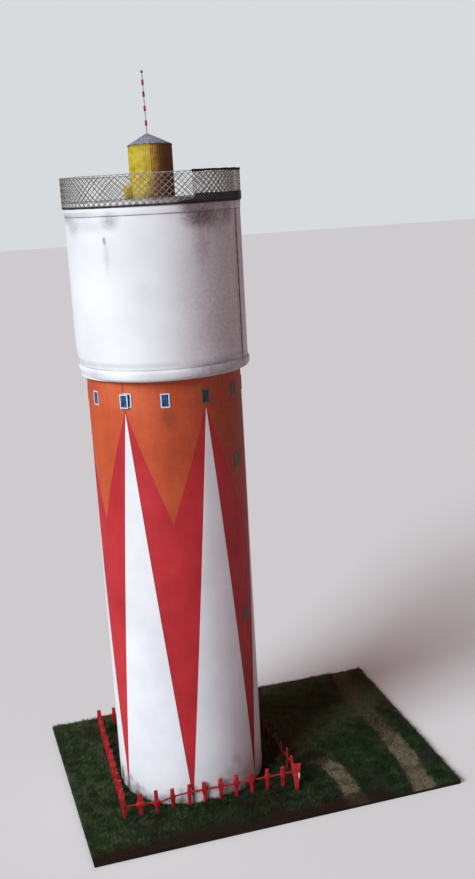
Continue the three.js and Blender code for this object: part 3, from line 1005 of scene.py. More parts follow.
# Each sheet's piece, then its grit and its grass, each with its seed and where it lies
groundParts = {
    "turf_tower_side": ("flockTowerSide", ("gritTowerSide", 15), [
        ("grassFrontOfTower", 20, lambda centre: centre.y < 0),
        ("grassBehindTower", 30, lambda centre: centre.y >= 0),
    ]),
    "turf_between_tracks": ("flockBetweenTracks", ("gritBetweenTracks", 35), [
        ("grassBetweenTracks", 40, everywhere),
    ]),
    "turf_far_side": ("flockFarSide", ("gritFarSide", 45), [("grassFarSide", 50, everywhere)]),
    "track_near": ("sandTrackNear", ("gritTrackNear", 60), [("grassOnNearTrack", 65, everywhere)]),
    "track_far": ("sandTrackFar", ("gritTrackFar", 70), [("grassOnFarTrack", 75, everywhere)]),
}
bed = groundBed()
grass = staticGrass()
ballast = ballastGrit()
for node, (sheetName, (gritName, gritSeed), grassParts) in groundParts.items():
    isTrack = node.startswith("track")
    sheet = groundSheet(node, **groundCover["track" if isTrack else "turf"])
    spreadValue(sheet, "earth", trackEarthAt if isTrack else earthAt)
    spreadValue(sheet, "grass", strayAt if isTrack else grassAt)
    spreadValue(sheet, "growth", growthAt)
    spreadValue(sheet, "sand", sandAt)
    spreadValue(sheet, "bleach", paintedLightAt)
    grains = scatter(sheet, everywhere if isTrack else lambda centre: sandAt(centre) > 0, grit, gritSeed)
    finishPiece(grains, gritName, [ballast])
    for name, seed, keep in grassParts:
        finishPiece(scatter(sheet, keep, fibres, seed), name, [grass])
    finishPiece(sheet, sheetName, [bed], [node])
print("ground ready")


# Shaft: a card tube with two paper crowns glued over it

shaft = {
    "columns": 180,
    "tubeWall": 1.2,
    "orangeThickness": 0.1,
    "whiteThickness": 0.2,
    "patternPeriod": 60,  # degrees from one point of a crown to the next
    "whiteFoot": 1.5,  # above the ground
    "orangePeak": 200.3,
}

# Sizes in mm of what shows in painted card, and how its tones are spread over the patterns' sum
cardPaint = {
    "broad": 22,
    "stroke": 1.6,
    "strokeStretch": 0.12,  # a stroke's width beside its length
    "speck": 0.55,
    "speckShare": 0.2,
    "creaseBreak": 6,
    "stainBreak": 3.5,
    "tooth": (0.35, 0.03),
    "firstTone": 0.12,
    "toneReach": 0.76,
}


# Painted card: matt acrylic with soft brush mottling over a fine paper tooth, rubbed and dusty in places.
# A spot is a soft dark patch: its middle, width, height, strength and tone. Those marked so are painted
# shade.
# A shade line is a thin level line of painted shade: its height, thickness, strength and tone. Low down it
# darkens.
def paintedCard(name, tones, spots=(), shadeLines=(), footDarkening=None, brush=0.14, roughness=(0.55, 0.72)):
    material, tree, shader, where = startMaterial(name)
    broad = patches(tree, where, cardPaint["broad"], 0.3, 0.7, 4.0)
    stretch = (1.0, 1.0, cardPaint["strokeStretch"])
    brushed = addNode(tree, "ShaderNodeMapping", {"Vector": where, "Scale": stretch})
    strokes = patches(tree, brushed.outputs[0], cardPaint["stroke"], 0.3, 0.7)
    speck = patches(tree, where, cardPaint["speck"], 0.3, 0.75)
    speckShare = cardPaint["speckShare"]
    mottle = summed(tree, [(broad, 1 - speckShare - brush), (strokes, brush), (speck, speckShare)])
    stops = [
        (cardPaint["firstTone"] + cardPaint["toneReach"] * number / (len(tones) - 1), tone)
        for number, tone in enumerate(tones)
    ]
    colour = addNode(tree, "ShaderNodeValToRGB", {"Fac": mottle}, stops).outputs["Color"]
    place = addNode(tree, "ShaderNodeSeparateXYZ", {0: where})
    layers = [(smudge(tree, where, *spot), tone) for *spot, tone in spots]
    for level, thickness, strength, tone in shadeLines:
        offset = addNode(tree, "ShaderNodeMath", {0: place.outputs["Z"], 1: level}, operation="SUBTRACT")
        away = addNode(tree, "ShaderNodeMath", {0: offset.outputs[0]}, operation="ABSOLUTE")
        line = addNode(tree, "ShaderNodeMapRange", {
            "Value": away.outputs[0], "From Min": thickness * mm / 2, "From Max": 0.0, "To Max": strength,
        }, interpolation_type="SMOOTHSTEP")
        broken = patches(tree, where, cardPaint["creaseBreak"], 0.2, 0.55)
        mask = addNode(tree, "ShaderNodeMath", {0: line.outputs["Result"], 1: broken}, operation="MULTIPLY")
        layers.append((mask.outputs[0], tone))
    if footDarkening:
        # Darker towards the ground
        rise = addNode(tree, "ShaderNodeMapRange", {
            "Value": place.outputs["Z"], "From Min": ground + footDarkening["height"] * mm, "From Max": ground,
        }, interpolation_type="SMOOTHSTEP")
        broken = patches(tree, where, cardPaint["stainBreak"], 0.35, 0.6, 4.0)
        mask = addNode(tree, "ShaderNodeMath", {0: rise.outputs["Result"], 1: broken}, operation="MULTIPLY")
        layers.append((mask.outputs[0], footDarkening["tone"]))
    paintOn(tree, shader, where, laidOver(tree, colour, layers), *cardPaint["tooth"])
    varyGloss(tree, shader, strokes, *roughness)
    return material


def zigzag(angle, atTip, atPeak):
    half = shaft["patternPeriod"] / 2
    turn = abs((angle - facing + half) % shaft["patternPeriod"] - half)
    return atTip + (atPeak - atTip) * turn / half


tubeLow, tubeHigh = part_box("shaft_tube")
ringLow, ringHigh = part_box("tank_bottom_ring")
tubeRadius = radiiOf("shaft_tube")[1]
orangeRadius = tubeRadius + shaft["orangeThickness"] * mm
whiteRadius = tubeRadius + shaft["whiteThickness"] * mm
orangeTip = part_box("orange_crown")[0].z
orangePeak = ground + shaft["orangePeak"] * mm
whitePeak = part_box("white_crown")[1].z
whiteFoot = ground + shaft["whiteFoot"] * mm


def onShaft(angle, height):
    return onTower(tubeRadius, facing + angle, ground + height * mm)


# One sheet of card or paper round the shaft, between its foot and its head
def shaftLayer(radius, foot, head, thickness):
    layer = openTube(radius, shaft["columns"], foot, head)
    thicken(layer, thickness * mm)
    smoothShade(layer)
    return layer


redPaint = paintedCard(
    "signal red acrylic on card", ["a0161e", "b41a23", "be212a", "c42e34"],
    # Painted shade: a broad darker patch down the tube's right side
    spots=[(onShaft(62, 90), 110, 320, 0.5, "a01016")],
    footDarkening={"height": 8, "tone": "4a1a17"},
)
tube = shaftLayer(tubeRadius, tubeLow.z, tubeHigh.z, shaft["tubeWall"])
finishPiece(tube, "shaftTube", [redPaint], ["shaft_tube"])

orangePaint = paintedCard(
    "burnt orange acrylic on paper", ["ad421d", "be4b21", "c95427", "d26335"],
    spots=[
        # Painted shade: a broad darker, redder patch on the crown's right side
        (onShaft(72, 180), 130, 280, 0.66, "7a1410"),
        (onShaft(2, 196), 11, 15, 0.7, "7c3a20"),
        (onShaft(0.1, 200), 2.6, 3, 0.6, "5c2c1c"),
        (onShaft(-31, 211), 2.6, 13, 0.8, "84302a"),
        (onShaft(-30, 200), 2.4, 4, 0.7, "6b2f24"),
    ],
    # A painted shadow line under the tank's bottom ring
    shadeLines=[(ringLow.z, 2.2, 0.85, "4c1a12")],
)
orange = shaftLayer(orangeRadius, lambda angle: zigzag(angle, orangeTip, orangePeak), tubeHigh.z,
                    shaft["orangeThickness"])
finishPiece(orange, "orangeCrown", [orangePaint], ["orange_crown"])

whitePaper = paintedCard(
    "white cartridge paper", ["dfdfe5", "e5e5ea", "eaeaef", "eeeef2"],
    spots=[
        (onShaft(-61.6, 11.1), 7, 7, 0.6, "7b7a7c"),
        (onShaft(-56, 8.2), 6, 6, 0.6, "7b7a7c"),
        (onShaft(-47.4, 5.9), 6, 6, 0.65, "747376"),
        (onShaft(-42, 5.5), 5, 5, 0.55, "7b7a7c"),
        (onShaft(-22.2, 3.6), 9, 6, 0.5, "85848a"),
        # Softer, darker patches low on the right, near the ground
        (onShaft(37, 19.5), 8, 9, 0.3, "7d7378"),
        (onShaft(40.9, 16.7), 7, 9, 0.3, "7d7378"),
        (onShaft(30.6, 13.4), 8, 9, 0.3, "7d7378"),
        (onShaft(23.3, 11.7), 8, 9, 0.25, "7d7378"),
    ],
    footDarkening={"height": 6, "tone": "6a6b5f"},
    brush=0.04,
)
white = shaftLayer(whiteRadius, tubeLow.z, lambda angle: zigzag(angle, whiteFoot, whitePeak),
                   shaft["whiteThickness"])
finishPiece(white, "whiteCrown", [whitePaper], ["white_crown"])
print("shaft ready")


# Windows: printed on thick paper, cut out with their frames and glued on

window = {
    "width": 4.5,
    "heightShare": 0.95,  # of the CAD window's height
    "depth": 0.14,
    "outline": 0.14,
    "frame": 0.55,
    "recess": 0.08,
    "cornerRound": 0.35,
    "roundSteps": 3,
    "tiltMost": 1.2,  # degrees
    "glue": 0.04,  # how far a print stands off the wall
    "greyFrom": 15,  # degrees from the facing window, where the prints take the painted shade inks
    "greyTo": 105,
    "overlap": (2.3, 0.4),  # degrees and mm that the lower print shows beside the doubled window
    "lift": 0.65,  # how far the upper print stands off there
}


# Window print: matt ink on paper, flat in tone with a little grain, so that it stays dull beside the paint
def windowInk(name, size, tones, roughness):
    stops = [(number / (len(tones) - 1), tone) for number, tone in enumerate(tones)]
    return thinCoat(name, size, stops, (0.4, 0.02), Roughness=roughness)


def windowShape(height):
    width, depth = window["width"] * mm, window["depth"] * mm
    shape = boxAt((0, -depth / 2, 0), (width, depth, height))
    pick(shape, "EDGE", lambda middle, way: abs(way.y) > alongAxis)
    bpy.ops.mesh.bevel(offset=window["cornerRound"] * mm, segments=window["roundSteps"])
    leaveEdit()
    pick(shape, "FACE", lambda centre, normal: normal.y < -alongAxis)
    bpy.ops.mesh.inset(thickness=window["outline"] * mm)
    bpy.ops.mesh.inset(thickness=window["frame"] * mm)
    bpy.ops.mesh.extrude_region_move(TRANSFORM_OT_translate={"value": (0, window["recess"] * mm, 0)})
    leaveEdit()
    for face in shape.data.polygons:
        fromSide = width / 2 - abs(face.center.x)
        fromEnd = height / 2 - abs(face.center.z)
        if face.normal.y < -alongAxis and face.center.y > -depth + window["recess"] * mm / 2:
            face.material_index = 2
        elif face.normal.y < -alongAxis and min(fromSide, fromEnd) < window["outline"] * mm:
            face.material_index = 1
    return shape


whiteInk = windowInk("white printed window frame", 1.2, ["c3cbd6", "e9edf2"], 0.5)
# A printed outline round each print, which also stands for the painted shadow of its edge
outlineInk = windowInk("grey blue printed outline", 0.8, ["3d4655", "6a7482"], 0.55)
blueInk = windowInk("blue ink print of a window pane", 2.4, ["122a50", "1b4475", "286396"], 0.35)
# Darker copies of the frame and pane inks: painted shade for the prints on the shaded side
shadedFrameInk = windowInk("grey printed window frame", 1.2, ["504845", "6b625e"], 0.55)
shadedPaneInk = windowInk("black ink print of a window pane", 2.4, ["1e2226", "33373c"], 0.35)
windowLow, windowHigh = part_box("window_ring_01")
pattern = windowShape((windowHigh.z - windowLow.z) * window["heightShare"])
for node in sorted(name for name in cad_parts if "window" in name):
    middle = middleOf(node)
    angle = angleOf(middle)
    wall = (orangeRadius if middle.z > orangeTip else tubeRadius) + window["glue"] * mm
    plate = copyOf(pattern)
    # Prints right of the front take the painted shade inks
    onShadedSide = window["greyFrom"] < angle - facing < window["greyTo"]
    coat(plate, [shadedFrameInk, outlineInk, shadedPaneInk] if onShadedSide else [whiteInk, outlineInk, blueInk])
    tilt = math.radians(random.uniform(-1, 1) * window["tiltMost"])
    plate.rotation_euler = (0, tilt, math.radians(angle))
    plate.location = onTower(wall, angle, middle.z)
    if node == "window_ring_12":  # two prints here, one over the edge of the other
        turn, rise = window["overlap"]
        under = copyOf(plate)
        under.location = onTower(wall, angle + turn, middle.z + rise * mm)
        under.rotation_euler.z = math.radians(angle + turn)
        plate.location = onTower(wall + window["lift"] * mm, angle, middle.z)
        plate = joined([plate, under])
    finishPiece(plate, camelName(node), [], [node])
bpy.data.objects.remove(pattern)
print("windows ready")


# Tank: a wide card drum with a rounded ring at its foot, a band at its head and a lapped seam

tank = {
    "columns": 240,
    "wallThickness": 1.0,
    "wallCuts": 19,
    "ringRound": 2.2,
    "ringSteps": 6,
    "weld": 0.001,
    "bandRound": 0.1,
    "stripRound": 0.07,
    "stripCuts": 11,
    "deckRound": 0.25,
    "pressedAt": -92,  # degrees from facing, where the drum's foot is pressed in
    "pressedFull": 20,  # how far round it is pressed in fully, and at all
    "pressedTo": 75,
    "pressedRise": 18,
    "pressedDepth": 2.6,
    "ringLeast": 0.1,  # of the pressed ring's thickness
}
tankLow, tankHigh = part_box("tank_wall")
tankRadius = radiiOf("tank_wall")[1]
bandLow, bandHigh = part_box("tank_top_band")
seamLow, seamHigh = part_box("tank_seam_strip")
seamStart, seamEnd = sweepOf("tank_seam_strip")
deckLow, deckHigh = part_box("deck")


def onTank(angle, heightBelowTop):
    return onTower(tankRadius, facing + angle, tankHigh.z - heightBelowTop * mm)


# The drum's foot was pressed in by hand on the left, but never past the inner radius
def pressIn(piece, inner):
    for corner in piece.data.vertices:
        gap = abs((angleOf(corner.co) - facing - tank["pressedAt"] + 180) % 360 - 180)
        rise = (corner.co.z - ringLow.z) / mm / tank["pressedRise"]
        pressed = 1 - blend(gap, tank["pressedFull"], tank["pressedTo"])
        push = tank["pressedDepth"] * mm * pressed * max(1 - rise, 0) ** 2
        radius = math.hypot(corner.co.x, corner.co.y)
        share = max(radius - push, min(radius, inner)) / radius
        corner.co.x *= share
        corner.co.y *= share
    piece.data.update()


whiteCard = paintedCard(
    "matt white card with soot smudges", ["e6e6ea", "eaeaee", "eeeef2", "f1f1f5"],
    spots=[
        (onTank(-72, 5), 24, 9, 0.6, "6f6d73"),
        (onTank(-52, 3.5), 40, 6, 0.45, "85838a"),
        (onTank(-62, 9), 16, 13, 0.4, "85838a"),
        (onTank(-48, 8.5), 44, 9, 0.35, "9a9aa4"),
        (onTank(-27, 6.5), 13, 12, 0.6, "77757b"),
        (onTank(-32, 15.1), 2.4, 5, 0.9, "4c5462"),
        (onTank(-31, 22), 5, 22, 0.3, "90909a"),
        (onTank(31, 7), 26, 14, 1.0, "352a2c"),
        (onTank(29, 3), 22, 8, 0.4, "4a3c40"),
        (onTank(22.5, 2.5), 14, 7, 0.65, "4a3c40"),
        (onTank(40, 6), 36, 22, 0.65, "5a464a"),
        (onTank(55, 6), 14, 16, 0.6, "4c3e43"),
        (onTank(31, 18), 14, 34, 0.4, "7d6d72"),
        (onTank(-8.8, 38.3), 16, 22, 0.15, "9a97a0"),
        # Painted shade: a broad darker patch down the drum's right side
        (onTank(50, 45), 78, 200, 0.5, "8a6365"),
        # Darker on the deck's rim, to the right of the front
        (onTank(24, -1.2), 24, 6, 0.95, "40303a"),
        (onTank(6, -1.2), 20, 4, 0.5, "5a4e54"),
        # Painted shade on the bottom ring's right side and just above it
        (onTank(38, 78), 76, 13, 0.6, "7b6f73"),
        (onTank(34, 73), 46, 5, 0.6, "6b6166"),
        (onTank(-49.5, 75), 26, 7, 0.35, "90909a"),
        (onTank(-8.3, 75), 26, 7, 0.35, "90909a"),
        (onTank(31, 75), 22, 7, 0.35, "90909a"),
        (onTower(tankRadius, seamStart, (seamLow.z + seamHigh.z) / 2), 1.5, 260, 1.0, "38262c"),
        (onTower(tankRadius, seamStart - 2, (seamLow.z + seamHigh.z) / 2), 6, 240, 0.3, "6a5055"),
    ],
    shadeLines=[
        # Painted shade lines: under the top band, along the ring's top and just above it, and at the deck's
        # upper edge
        (bandLow.z, 0.6, 0.75, "5d5c66"),
        (ringHigh.z, 0.8, 0.5, "6a6670"),
        (ringHigh.z + 2 * mm, 4, 0.3, "8f8e98"),
        (deckLow.z + 1.7 * mm, 1.3, 0.9, "4b484c"),
    ],
    brush=0.04,
)
wall = openTube(tankRadius, tank["columns"], tankLow.z, tankHigh.z)
cutAlong(wall, "z", tank["wallCuts"])
thicken(wall, tank["wallThickness"] * mm)
pressIn(wall, 0)
smoothShade(wall)
finishPiece(wall, "tankWall", [whiteCard], ["tank_wall"])

ringInner, ringOuter = radiiOf("tank_bottom_ring")
ringMiddle = (ringInner + ringOuter) / 2
bpy.ops.mesh.primitive_plane_add(
    size=1, location=(ringMiddle, 0, (ringLow.z + ringHigh.z) / 2), rotation=(math.radians(90), 0, 0),
)
ring = bpy.context.object
ring.scale = (ringOuter - ringInner, ringHigh.z - ringLow.z, 1)
placeInMesh(ring)
pick(ring, "VERT", lambda place, normal: place.x > ringMiddle)
bpy.ops.mesh.bevel(offset=tank["ringRound"] * mm, segments=tank["ringSteps"], affect="VERTICES")
bpy.ops.mesh.select_all(action="SELECT")
bpy.ops.mesh.delete(type="ONLY_FACE")
bpy.ops.mesh.select_all(action="SELECT")
bpy.ops.mesh.spin(steps=tank["columns"], angle=2 * math.pi, center=(0, 0, 0), axis=(0, 0, 1))
bpy.ops.mesh.select_all(action="SELECT")
bpy.ops.mesh.remove_doubles(threshold=tank["weld"] * mm)
leaveEdit()
fixNormals(ring)
pressIn(ring, ringInner + tank["ringLeast"] * mm)
smoothShade(ring, 40)
finishPiece(ring, "tankBottomRing", [whiteCard], ["tank_bottom_ring"])

bandInner, bandOuter = radiiOf("tank_top_band")
band = openTube(bandOuter, tank["columns"], bandLow.z, bandHigh.z)
thicken(band, bandOuter - bandInner)
roundEdges(band, tank["bandRound"] * mm)
smoothShade(band)
finishPiece(band, "tankTopBand", [whiteCard], ["tank_top_band"])

seamInner, seamOuter = radiiOf("tank_seam_strip")
seamWidth = math.radians(seamEnd - seamStart) * seamInner
seamSize = Vector((seamWidth, seamOuter - seamInner, seamHigh.z - seamLow.z))
strip = boxAt((seamSize.x / 2, -seamSize.y / 2, (seamLow.z + seamHigh.z) / 2), seamSize)
cutAlong(strip, "x", tank["stripCuts"])
roundEdges(strip, tank["stripRound"] * mm)
wrapRound(strip, seamInner, seamStart)
smoothShade(strip)
finishPiece(strip, "tankSeamStrip", [whiteCard], ["tank_seam_strip"])

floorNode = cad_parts["tank_floor"]
floorNode.data.materials.clear()
coat(floorNode, [whiteCard])

deckCard = paintedCard(
    "grey card deck with dust and glue marks", ["7d7775", "918c89", "a5a09d", "b4b0ad"],
    spots=[
        # Darker round the cabin's foot, and in a patch to the right
        (Vector((0, 0, deckHigh.z)), 44, 6, 0.8, "4c4744"),
        (onTower(22 * mm, 40, deckHigh.z), 26, 6, 0.6, "5d5753"),
    ],
    roughness=(0.7, 0.85),
)
bpy.ops.mesh.primitive_cylinder_add(
    vertices=tank["columns"], radius=radiiOf("deck")[1], depth=deckHigh.z - deckLow.z,
    location=(0, 0, (deckLow.z + deckHigh.z) / 2),
)
deck = bpy.context.object
placeInMesh(deck)
roundEdges(deck, tank["deckRound"] * mm)
smoothShade(deck)
coat(deck, [deckCard, whiteCard])
paintFaces(deck, lambda face: int(face.normal.z < 0.5))  # grey on top, and white at the rim and below
finishPiece(deck, "deckDisc", [], ["deck"])
print("tank ready")


# Parapet: fine woven wire netting between two wires, its two ends lapped and bound in black paper

netting = {
    "columnsPerQuarter": 22,
    "rows": 5,
    "wire": 0.32,  # thickness
    "lapWire": 0.3,
    "lapFineness": 2,  # of its diamonds, beside the other net
    "weave": 0.12,  # how far a wire swings out and in
    "steps": 6,  # along one wire in one diamond
    "sides": 5,
    "weld": 0.004,
    "edgeDepth": 0.45,
    "topWire": 0.34,
    "bottomWire": 0.8,
    "edgeCuts": 42,
    "edgeWaves": {"bottom": 0.08, "top": 0.05},
    "lapShift": 0.25,  # of a diamond, between the two layers
    "lapCuts": 40,
    "lapWave": 0.22,
    "waveLength": 6,
    "tapeRound": 0.25,  # of a strip's thinner side
    "tailLength": 7,  # of the black paper, where it thins out along the bottom wire
    "tailHeight": (0.2, 0.12),  # shares of its height at the tail's tip, and how much more at its root
    "rubbedAt": 78,  # degrees from facing, where the black paper's end turns pale grey
}


# Wire: dull grey lacquered steel, with a soft broken glint and some dust
def dullWire(name, tones):
    stops = list(zip((0.0, 0.6, 1.0), tones))
    return thinCoat(name, 2.5, stops, (0.3, 0.03), (0.35, 0.7), gloss=(0.45, 0.75), Metallic=0.2)


def blackPaper():
    material, tree, shader, where = startMaterial("black sugar paper strip", Roughness=0.8)
    worn = patches(tree, where, 3.0, 0.35, 0.75)
    tone = addNode(tree, "ShaderNodeValToRGB", {"Fac": worn}, [
        (0.0, "120f0f"), (0.7, "241d1c"), (1.0, "3c3432"),
    ])
    # The paper's end turns pale grey there
    paleEnd = smudge(tree, where, onTower(lapRadius, facing + netting["rubbedAt"], deckHigh.z), 12, 12, 0.9)
    greyed = laidOver(tree, tone.outputs["Color"], [(paleEnd, "86827e")])
    paintOn(tree, shader, where, greyed, 0.4, 0.06)
    return material


# One wire across one diamond, from corner to corner, swinging out and in as it passes its neighbours
def wireShape(width, height, swing, thickness):
    length = math.hypot(width, height)
    bpy.ops.mesh.primitive_cylinder_add(
        vertices=netting["sides"], radius=thickness * mm / 2, depth=1, end_fill_type="NOTHING",
    )
    wire = bpy.context.object
    cutAlong(wire, "z", netting["steps"] - 1)
    for corner in wire.data.vertices:
        share = corner.co.z + 0.5
        across, out = corner.co.x, corner.co.y
        out -= swing * math.cos(2 * math.pi * share)
        corner.co = (
            width * share + across * height / length, out, height * share - across * width / length,
        )
    wire.data.update()
    return wire


def netSheet(columns, rows, width, height, foot, thickness):
    swing = netting["weave"] * mm
    rising = wireShape(width, height, swing, thickness)
    falling = wireShape(width, height, -swing, thickness)
    for corner in falling.data.vertices:
        corner.co.z = height - corner.co.z
    net = joined([rising, falling])
    net.data.update()
    for count, step in ((columns, (width, 0, 0)), (rows, (0, 0, height))):
        modify(net, "ARRAY", count=count, use_relative_offset=False, use_constant_offset=True,
               constant_offset_displace=step, use_merge_vertices=True, merge_threshold=netting["weld"] * mm)
    pick(net, "VERT", lambda place, normal: True)
    bpy.ops.mesh.remove_doubles(threshold=netting["weld"] * mm)
    bpy.ops.mesh.select_all(action="SELECT")
    bpy.ops.mesh.fill_holes(sides=netting["sides"])
    leaveEdit()
    net.location.z = foot
    placeInMesh(net)
    fixNormals(net)
    return net


# A narrow strip from X 0 to its length, its back at Y 0, with slightly wandering edges
def tape(length, depth, low, high, cuts, wave):
    strip = boxAt((length / 2, -depth / 2, (low + high) / 2), (length, depth, high - low))
    cutAlong(strip, "x", cuts)
    shift = random.uniform(0, 40)
    for corner in strip.data.vertices:
        layer = 3.0 if corner.co.z > (low + high) / 2 else 8.0
        field = Vector((corner.co.x / (netting["waveLength"] * mm), shift, layer))
        corner.co.z += wave * noise.noise(field)
    strip.data.update()
    roundEdges(strip, min(depth, high - low) * netting["tapeRound"])
    return strip


wireSteel = dullWire("dull grey lacquered steel wire", ["827e7b", "918d89", "a39f9b"])
# A lighter copy of the wire for the lap on the shaded side: painted light
lapSteel = dullWire("dull grey lacquered steel wire, tarnished in the lap", ["9a948f", "aca6a1", "bdb7b1"])
lapInner, lapOuter = radiiOf("parapet_lap_mesh")
lapRadius = (lapInner + lapOuter) / 2
bindPaper = blackPaper()
meshInner, meshOuter = radiiOf("parapet_mesh_1")
meshRadius = (meshInner + meshOuter) / 2
edgeDepth = netting["edgeDepth"] * mm
bottomWire, topWire = netting["bottomWire"] * mm, netting["topWire"] * mm
bottomWave, topWave = (netting["edgeWaves"][edge] * mm for edge in ("bottom", "top"))
for quarter in range(1, 5):
    node = f"parapet_mesh_{quarter}"
    low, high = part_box(node)
    start, end = sweepOf(node)
    length = math.radians(end - start) * meshRadius
    foot = low.z + bottomWire / 2
    head = high.z - topWire / 2
    columns, rows = netting["columnsPerQuarter"], netting["rows"]
    diamond = Vector((length / columns, (head - foot) / rows))
    net = netSheet(columns, rows, diamond.x, diamond.y, foot, netting["wire"])
    bottom = tape(length, edgeDepth, low.z, low.z + bottomWire, netting["edgeCuts"], bottomWave)
    top = tape(length, edgeDepth, high.z - topWire, high.z, netting["edgeCuts"], topWave)
    for part in (net, bottom, top):
        coat(part, [wireSteel, bindPaper, lapSteel])
    for part, paint in ((bottom, 1), (top, 2)):
        part.location.y = edgeDepth / 2
        paintFaces(part, lambda face: paint)
    sheet = joined([net, bottom, top])
    wrapRound(sheet, meshRadius, start)
    smoothShade(sheet, 60)
    finishPiece(sheet, camelName(node), [], [node])

low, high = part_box("parapet_lap_mesh")
start, end = sweepOf("parapet_lap_mesh")
length = math.radians(end - start) * lapRadius
columns = round(netting["lapFineness"] * length / diamond.x)
lapCell = diamond.y / netting["lapFineness"]
lapFoot = foot + netting["lapShift"] * diamond.y
rows = int((high.z - lapFoot) / lapCell)
lapNet = netSheet(columns, rows, length / columns, lapCell, lapFoot, netting["lapWire"])
wrapRound(lapNet, lapRadius, start)
smoothShade(lapNet, 60)
finishPiece(lapNet, "parapetLapMesh", [lapSteel], ["parapet_lap_mesh"])
for node, tail in (("parapet_lap_band", netting["tailLength"] * mm), ("parapet_lap_edge", 0)):
    low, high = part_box(node)
    start, end = sweepOf(node)
    inner, outer = radiiOf(node)
    length = math.radians(end - start) * inner + tail
    strip = tape(length, outer - inner, low.z, high.z, netting["lapCuts"], netting["lapWave"] * mm)
    tip, more = netting["tailHeight"]
    for corner in strip.data.vertices:
        if tail and corner.co.x < tail:
            corner.co.z = low.z + (corner.co.z - low.z) * (tip + more * corner.co.x / tail)
    wrapRound(strip, inner, start - math.degrees(tail / inner))
    smoothShade(strip, 60)
    finishPiece(strip, camelName(node), [bindPaper], [node])
print("parapet ready")


# Cabin: ribbed yellow wall, cone roof and a small arched hatch at its foot

cabin = {
    "ribs": 60,
    "ribColumns": 6,  # faces round one rib
    "ribDepth": 0.12,
    "wallThickness": 0.5,
    "frontRise": 0.8,  # of the wall's head and the eaves, on the side that faces the camera
    "seamAngle": -1,  # degrees from facing, where the paper's edge shows
    "washRise": 11,  # over the deck, below which the painted shadow goes further to the left
    # How high the darkening at the foot reaches, and how deep the painted shadow under the roof's rim is
    "footDirt": 4,
    "headDirt": 0.6,
    "roofSides": 96,
    "roofTip": 0.25,
    "roofRound": 0.08,
    "rimHeight": 0.45,
    "rimWidth": 0.8,
    "hatchWidth": 3.8,
    "hatchReach": 2.9,
    "hatchHeight": 6.4,
    "hatchArch": 0.47,  # its radius, as a share of the width
    "archSteps": 8,
    "hatchFrame": 0.55,
    "hatchPanel": 0.25,  # how deep it lies
    "hatchRound": 0.12,
    "hatchGap": 0.1,
}
cabinLow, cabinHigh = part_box("cabin_wall")
cabinMiddle = middleOf("cabin_wall")
cabinRadius = (cabinHigh.x - cabinLow.x) / 2


# Cabin wall: corrugated card in chrome yellow poster paint. It is washed brown to the right of the paper's
# edge, partly as painted shade, which deepens further round the shaded side and, lower down, reaches further
# left as a painted shadow. It is darker at its foot, with a painted shadow under the roof's rim.
def yellowPaint():
    material, tree, shader, where = startMaterial(
        "chrome yellow poster paint on corrugated card", Roughness=0.6,
    )
    tone = patches(tree, where, 3.0, 0.3, 0.7)
    paint = addNode(tree, "ShaderNodeValToRGB", {"Fac": tone}, [
        (0.0, "a88b1c"), (0.4, "bfa625"), (0.8, "cbb232"), (1.0, "d6c04e"),
    ])
    toCentre = (cabinMiddle.x, cabinMiddle.y, 0)
    fromCentre = addNode(tree, "ShaderNodeVectorMath", {0: where, 1: toCentre}, operation="SUBTRACT")
    seamTurn = (0, 0, -math.radians(facing + cabin["seamAngle"]))
    turned = addNode(tree, "ShaderNodeMapping", {"Vector": fromCentre.outputs[0], "Rotation": seamTurn})
    place = addNode(tree, "ShaderNodeSeparateXYZ", {0: turned.outputs[0]})
    lowShadowShift, foot, head = (
        addNode(tree, "ShaderNodeMapRange", {
            "Value": place.outputs["Z"], "From Min": none, "From Max": full, "To Max": most,
        }, interpolation_type=kind).outputs["Result"]
        for none, full, most, kind in (
            (deckHigh.z + cabin["washRise"] * mm, deckHigh.z, 0.45, "LINEAR"),
            (deckHigh.z + cabin["footDirt"] * mm, deckHigh.z, 0.7, "SMOOTHSTEP"),
            (cabinHigh.z - cabin["headDirt"] * mm, cabinHigh.z, 0.7, "LINEAR"),
        )
    )
    ahead = addNode(tree, "ShaderNodeMath", {0: place.outputs["Y"], 1: -1.0}, operation="MULTIPLY")
    angle = addNode(tree, "ShaderNodeMath", {
        0: place.outputs["X"], 1: ahead.outputs[0],
    }, operation="ARCTAN2")
    shifted = addNode(tree, "ShaderNodeMath", {0: angle.outputs[0], 1: lowShadowShift}, operation="ADD")
    washAndShade = addNode(tree, "ShaderNodeMapRange", {
        "Value": shifted.outputs[0], "From Min": 0.0, "From Max": 0.03, "To Max": 0.95,
    })
    # Painted shade, deepening round the shaded side
    deepShade = addNode(tree, "ShaderNodeMapRange", {
        "Value": shifted.outputs[0], "From Min": 0.1, "From Max": 0.5, "To Max": 0.9,
    }, interpolation_type="SMOOTHSTEP")
    fleck = patches(tree, where, 1.8, 0.25, 0.6)
    washAndShadeFlecked = addNode(tree, "ShaderNodeMath", {0: washAndShade.outputs["Result"], 1: fleck}, operation="MULTIPLY")
    # Darker at the foot, and a painted shadow under the roof's rim
    ends = addNode(tree, "ShaderNodeMath", {0: foot, 1: head}, operation="MAXIMUM")
    broken = patches(tree, where, 1.5, 0.3, 0.6)
    darkEndsBroken = addNode(tree, "ShaderNodeMath", {0: ends.outputs[0], 1: broken}, operation="MULTIPLY")
    colour = laidOver(tree, paint.outputs["Color"], [
        (washAndShadeFlecked.outputs[0], "965a1c"), (deepShade.outputs["Result"], "6b3e19"), (darkEndsBroken.outputs[0], "5a4420"),
    ])
    paintOn(tree, shader, where, colour, 0.4, 0.04)
    return material


def eavesRise(angle):
    return cabin["frontRise"] * mm * max(0, math.cos(math.radians(angle - facing)))


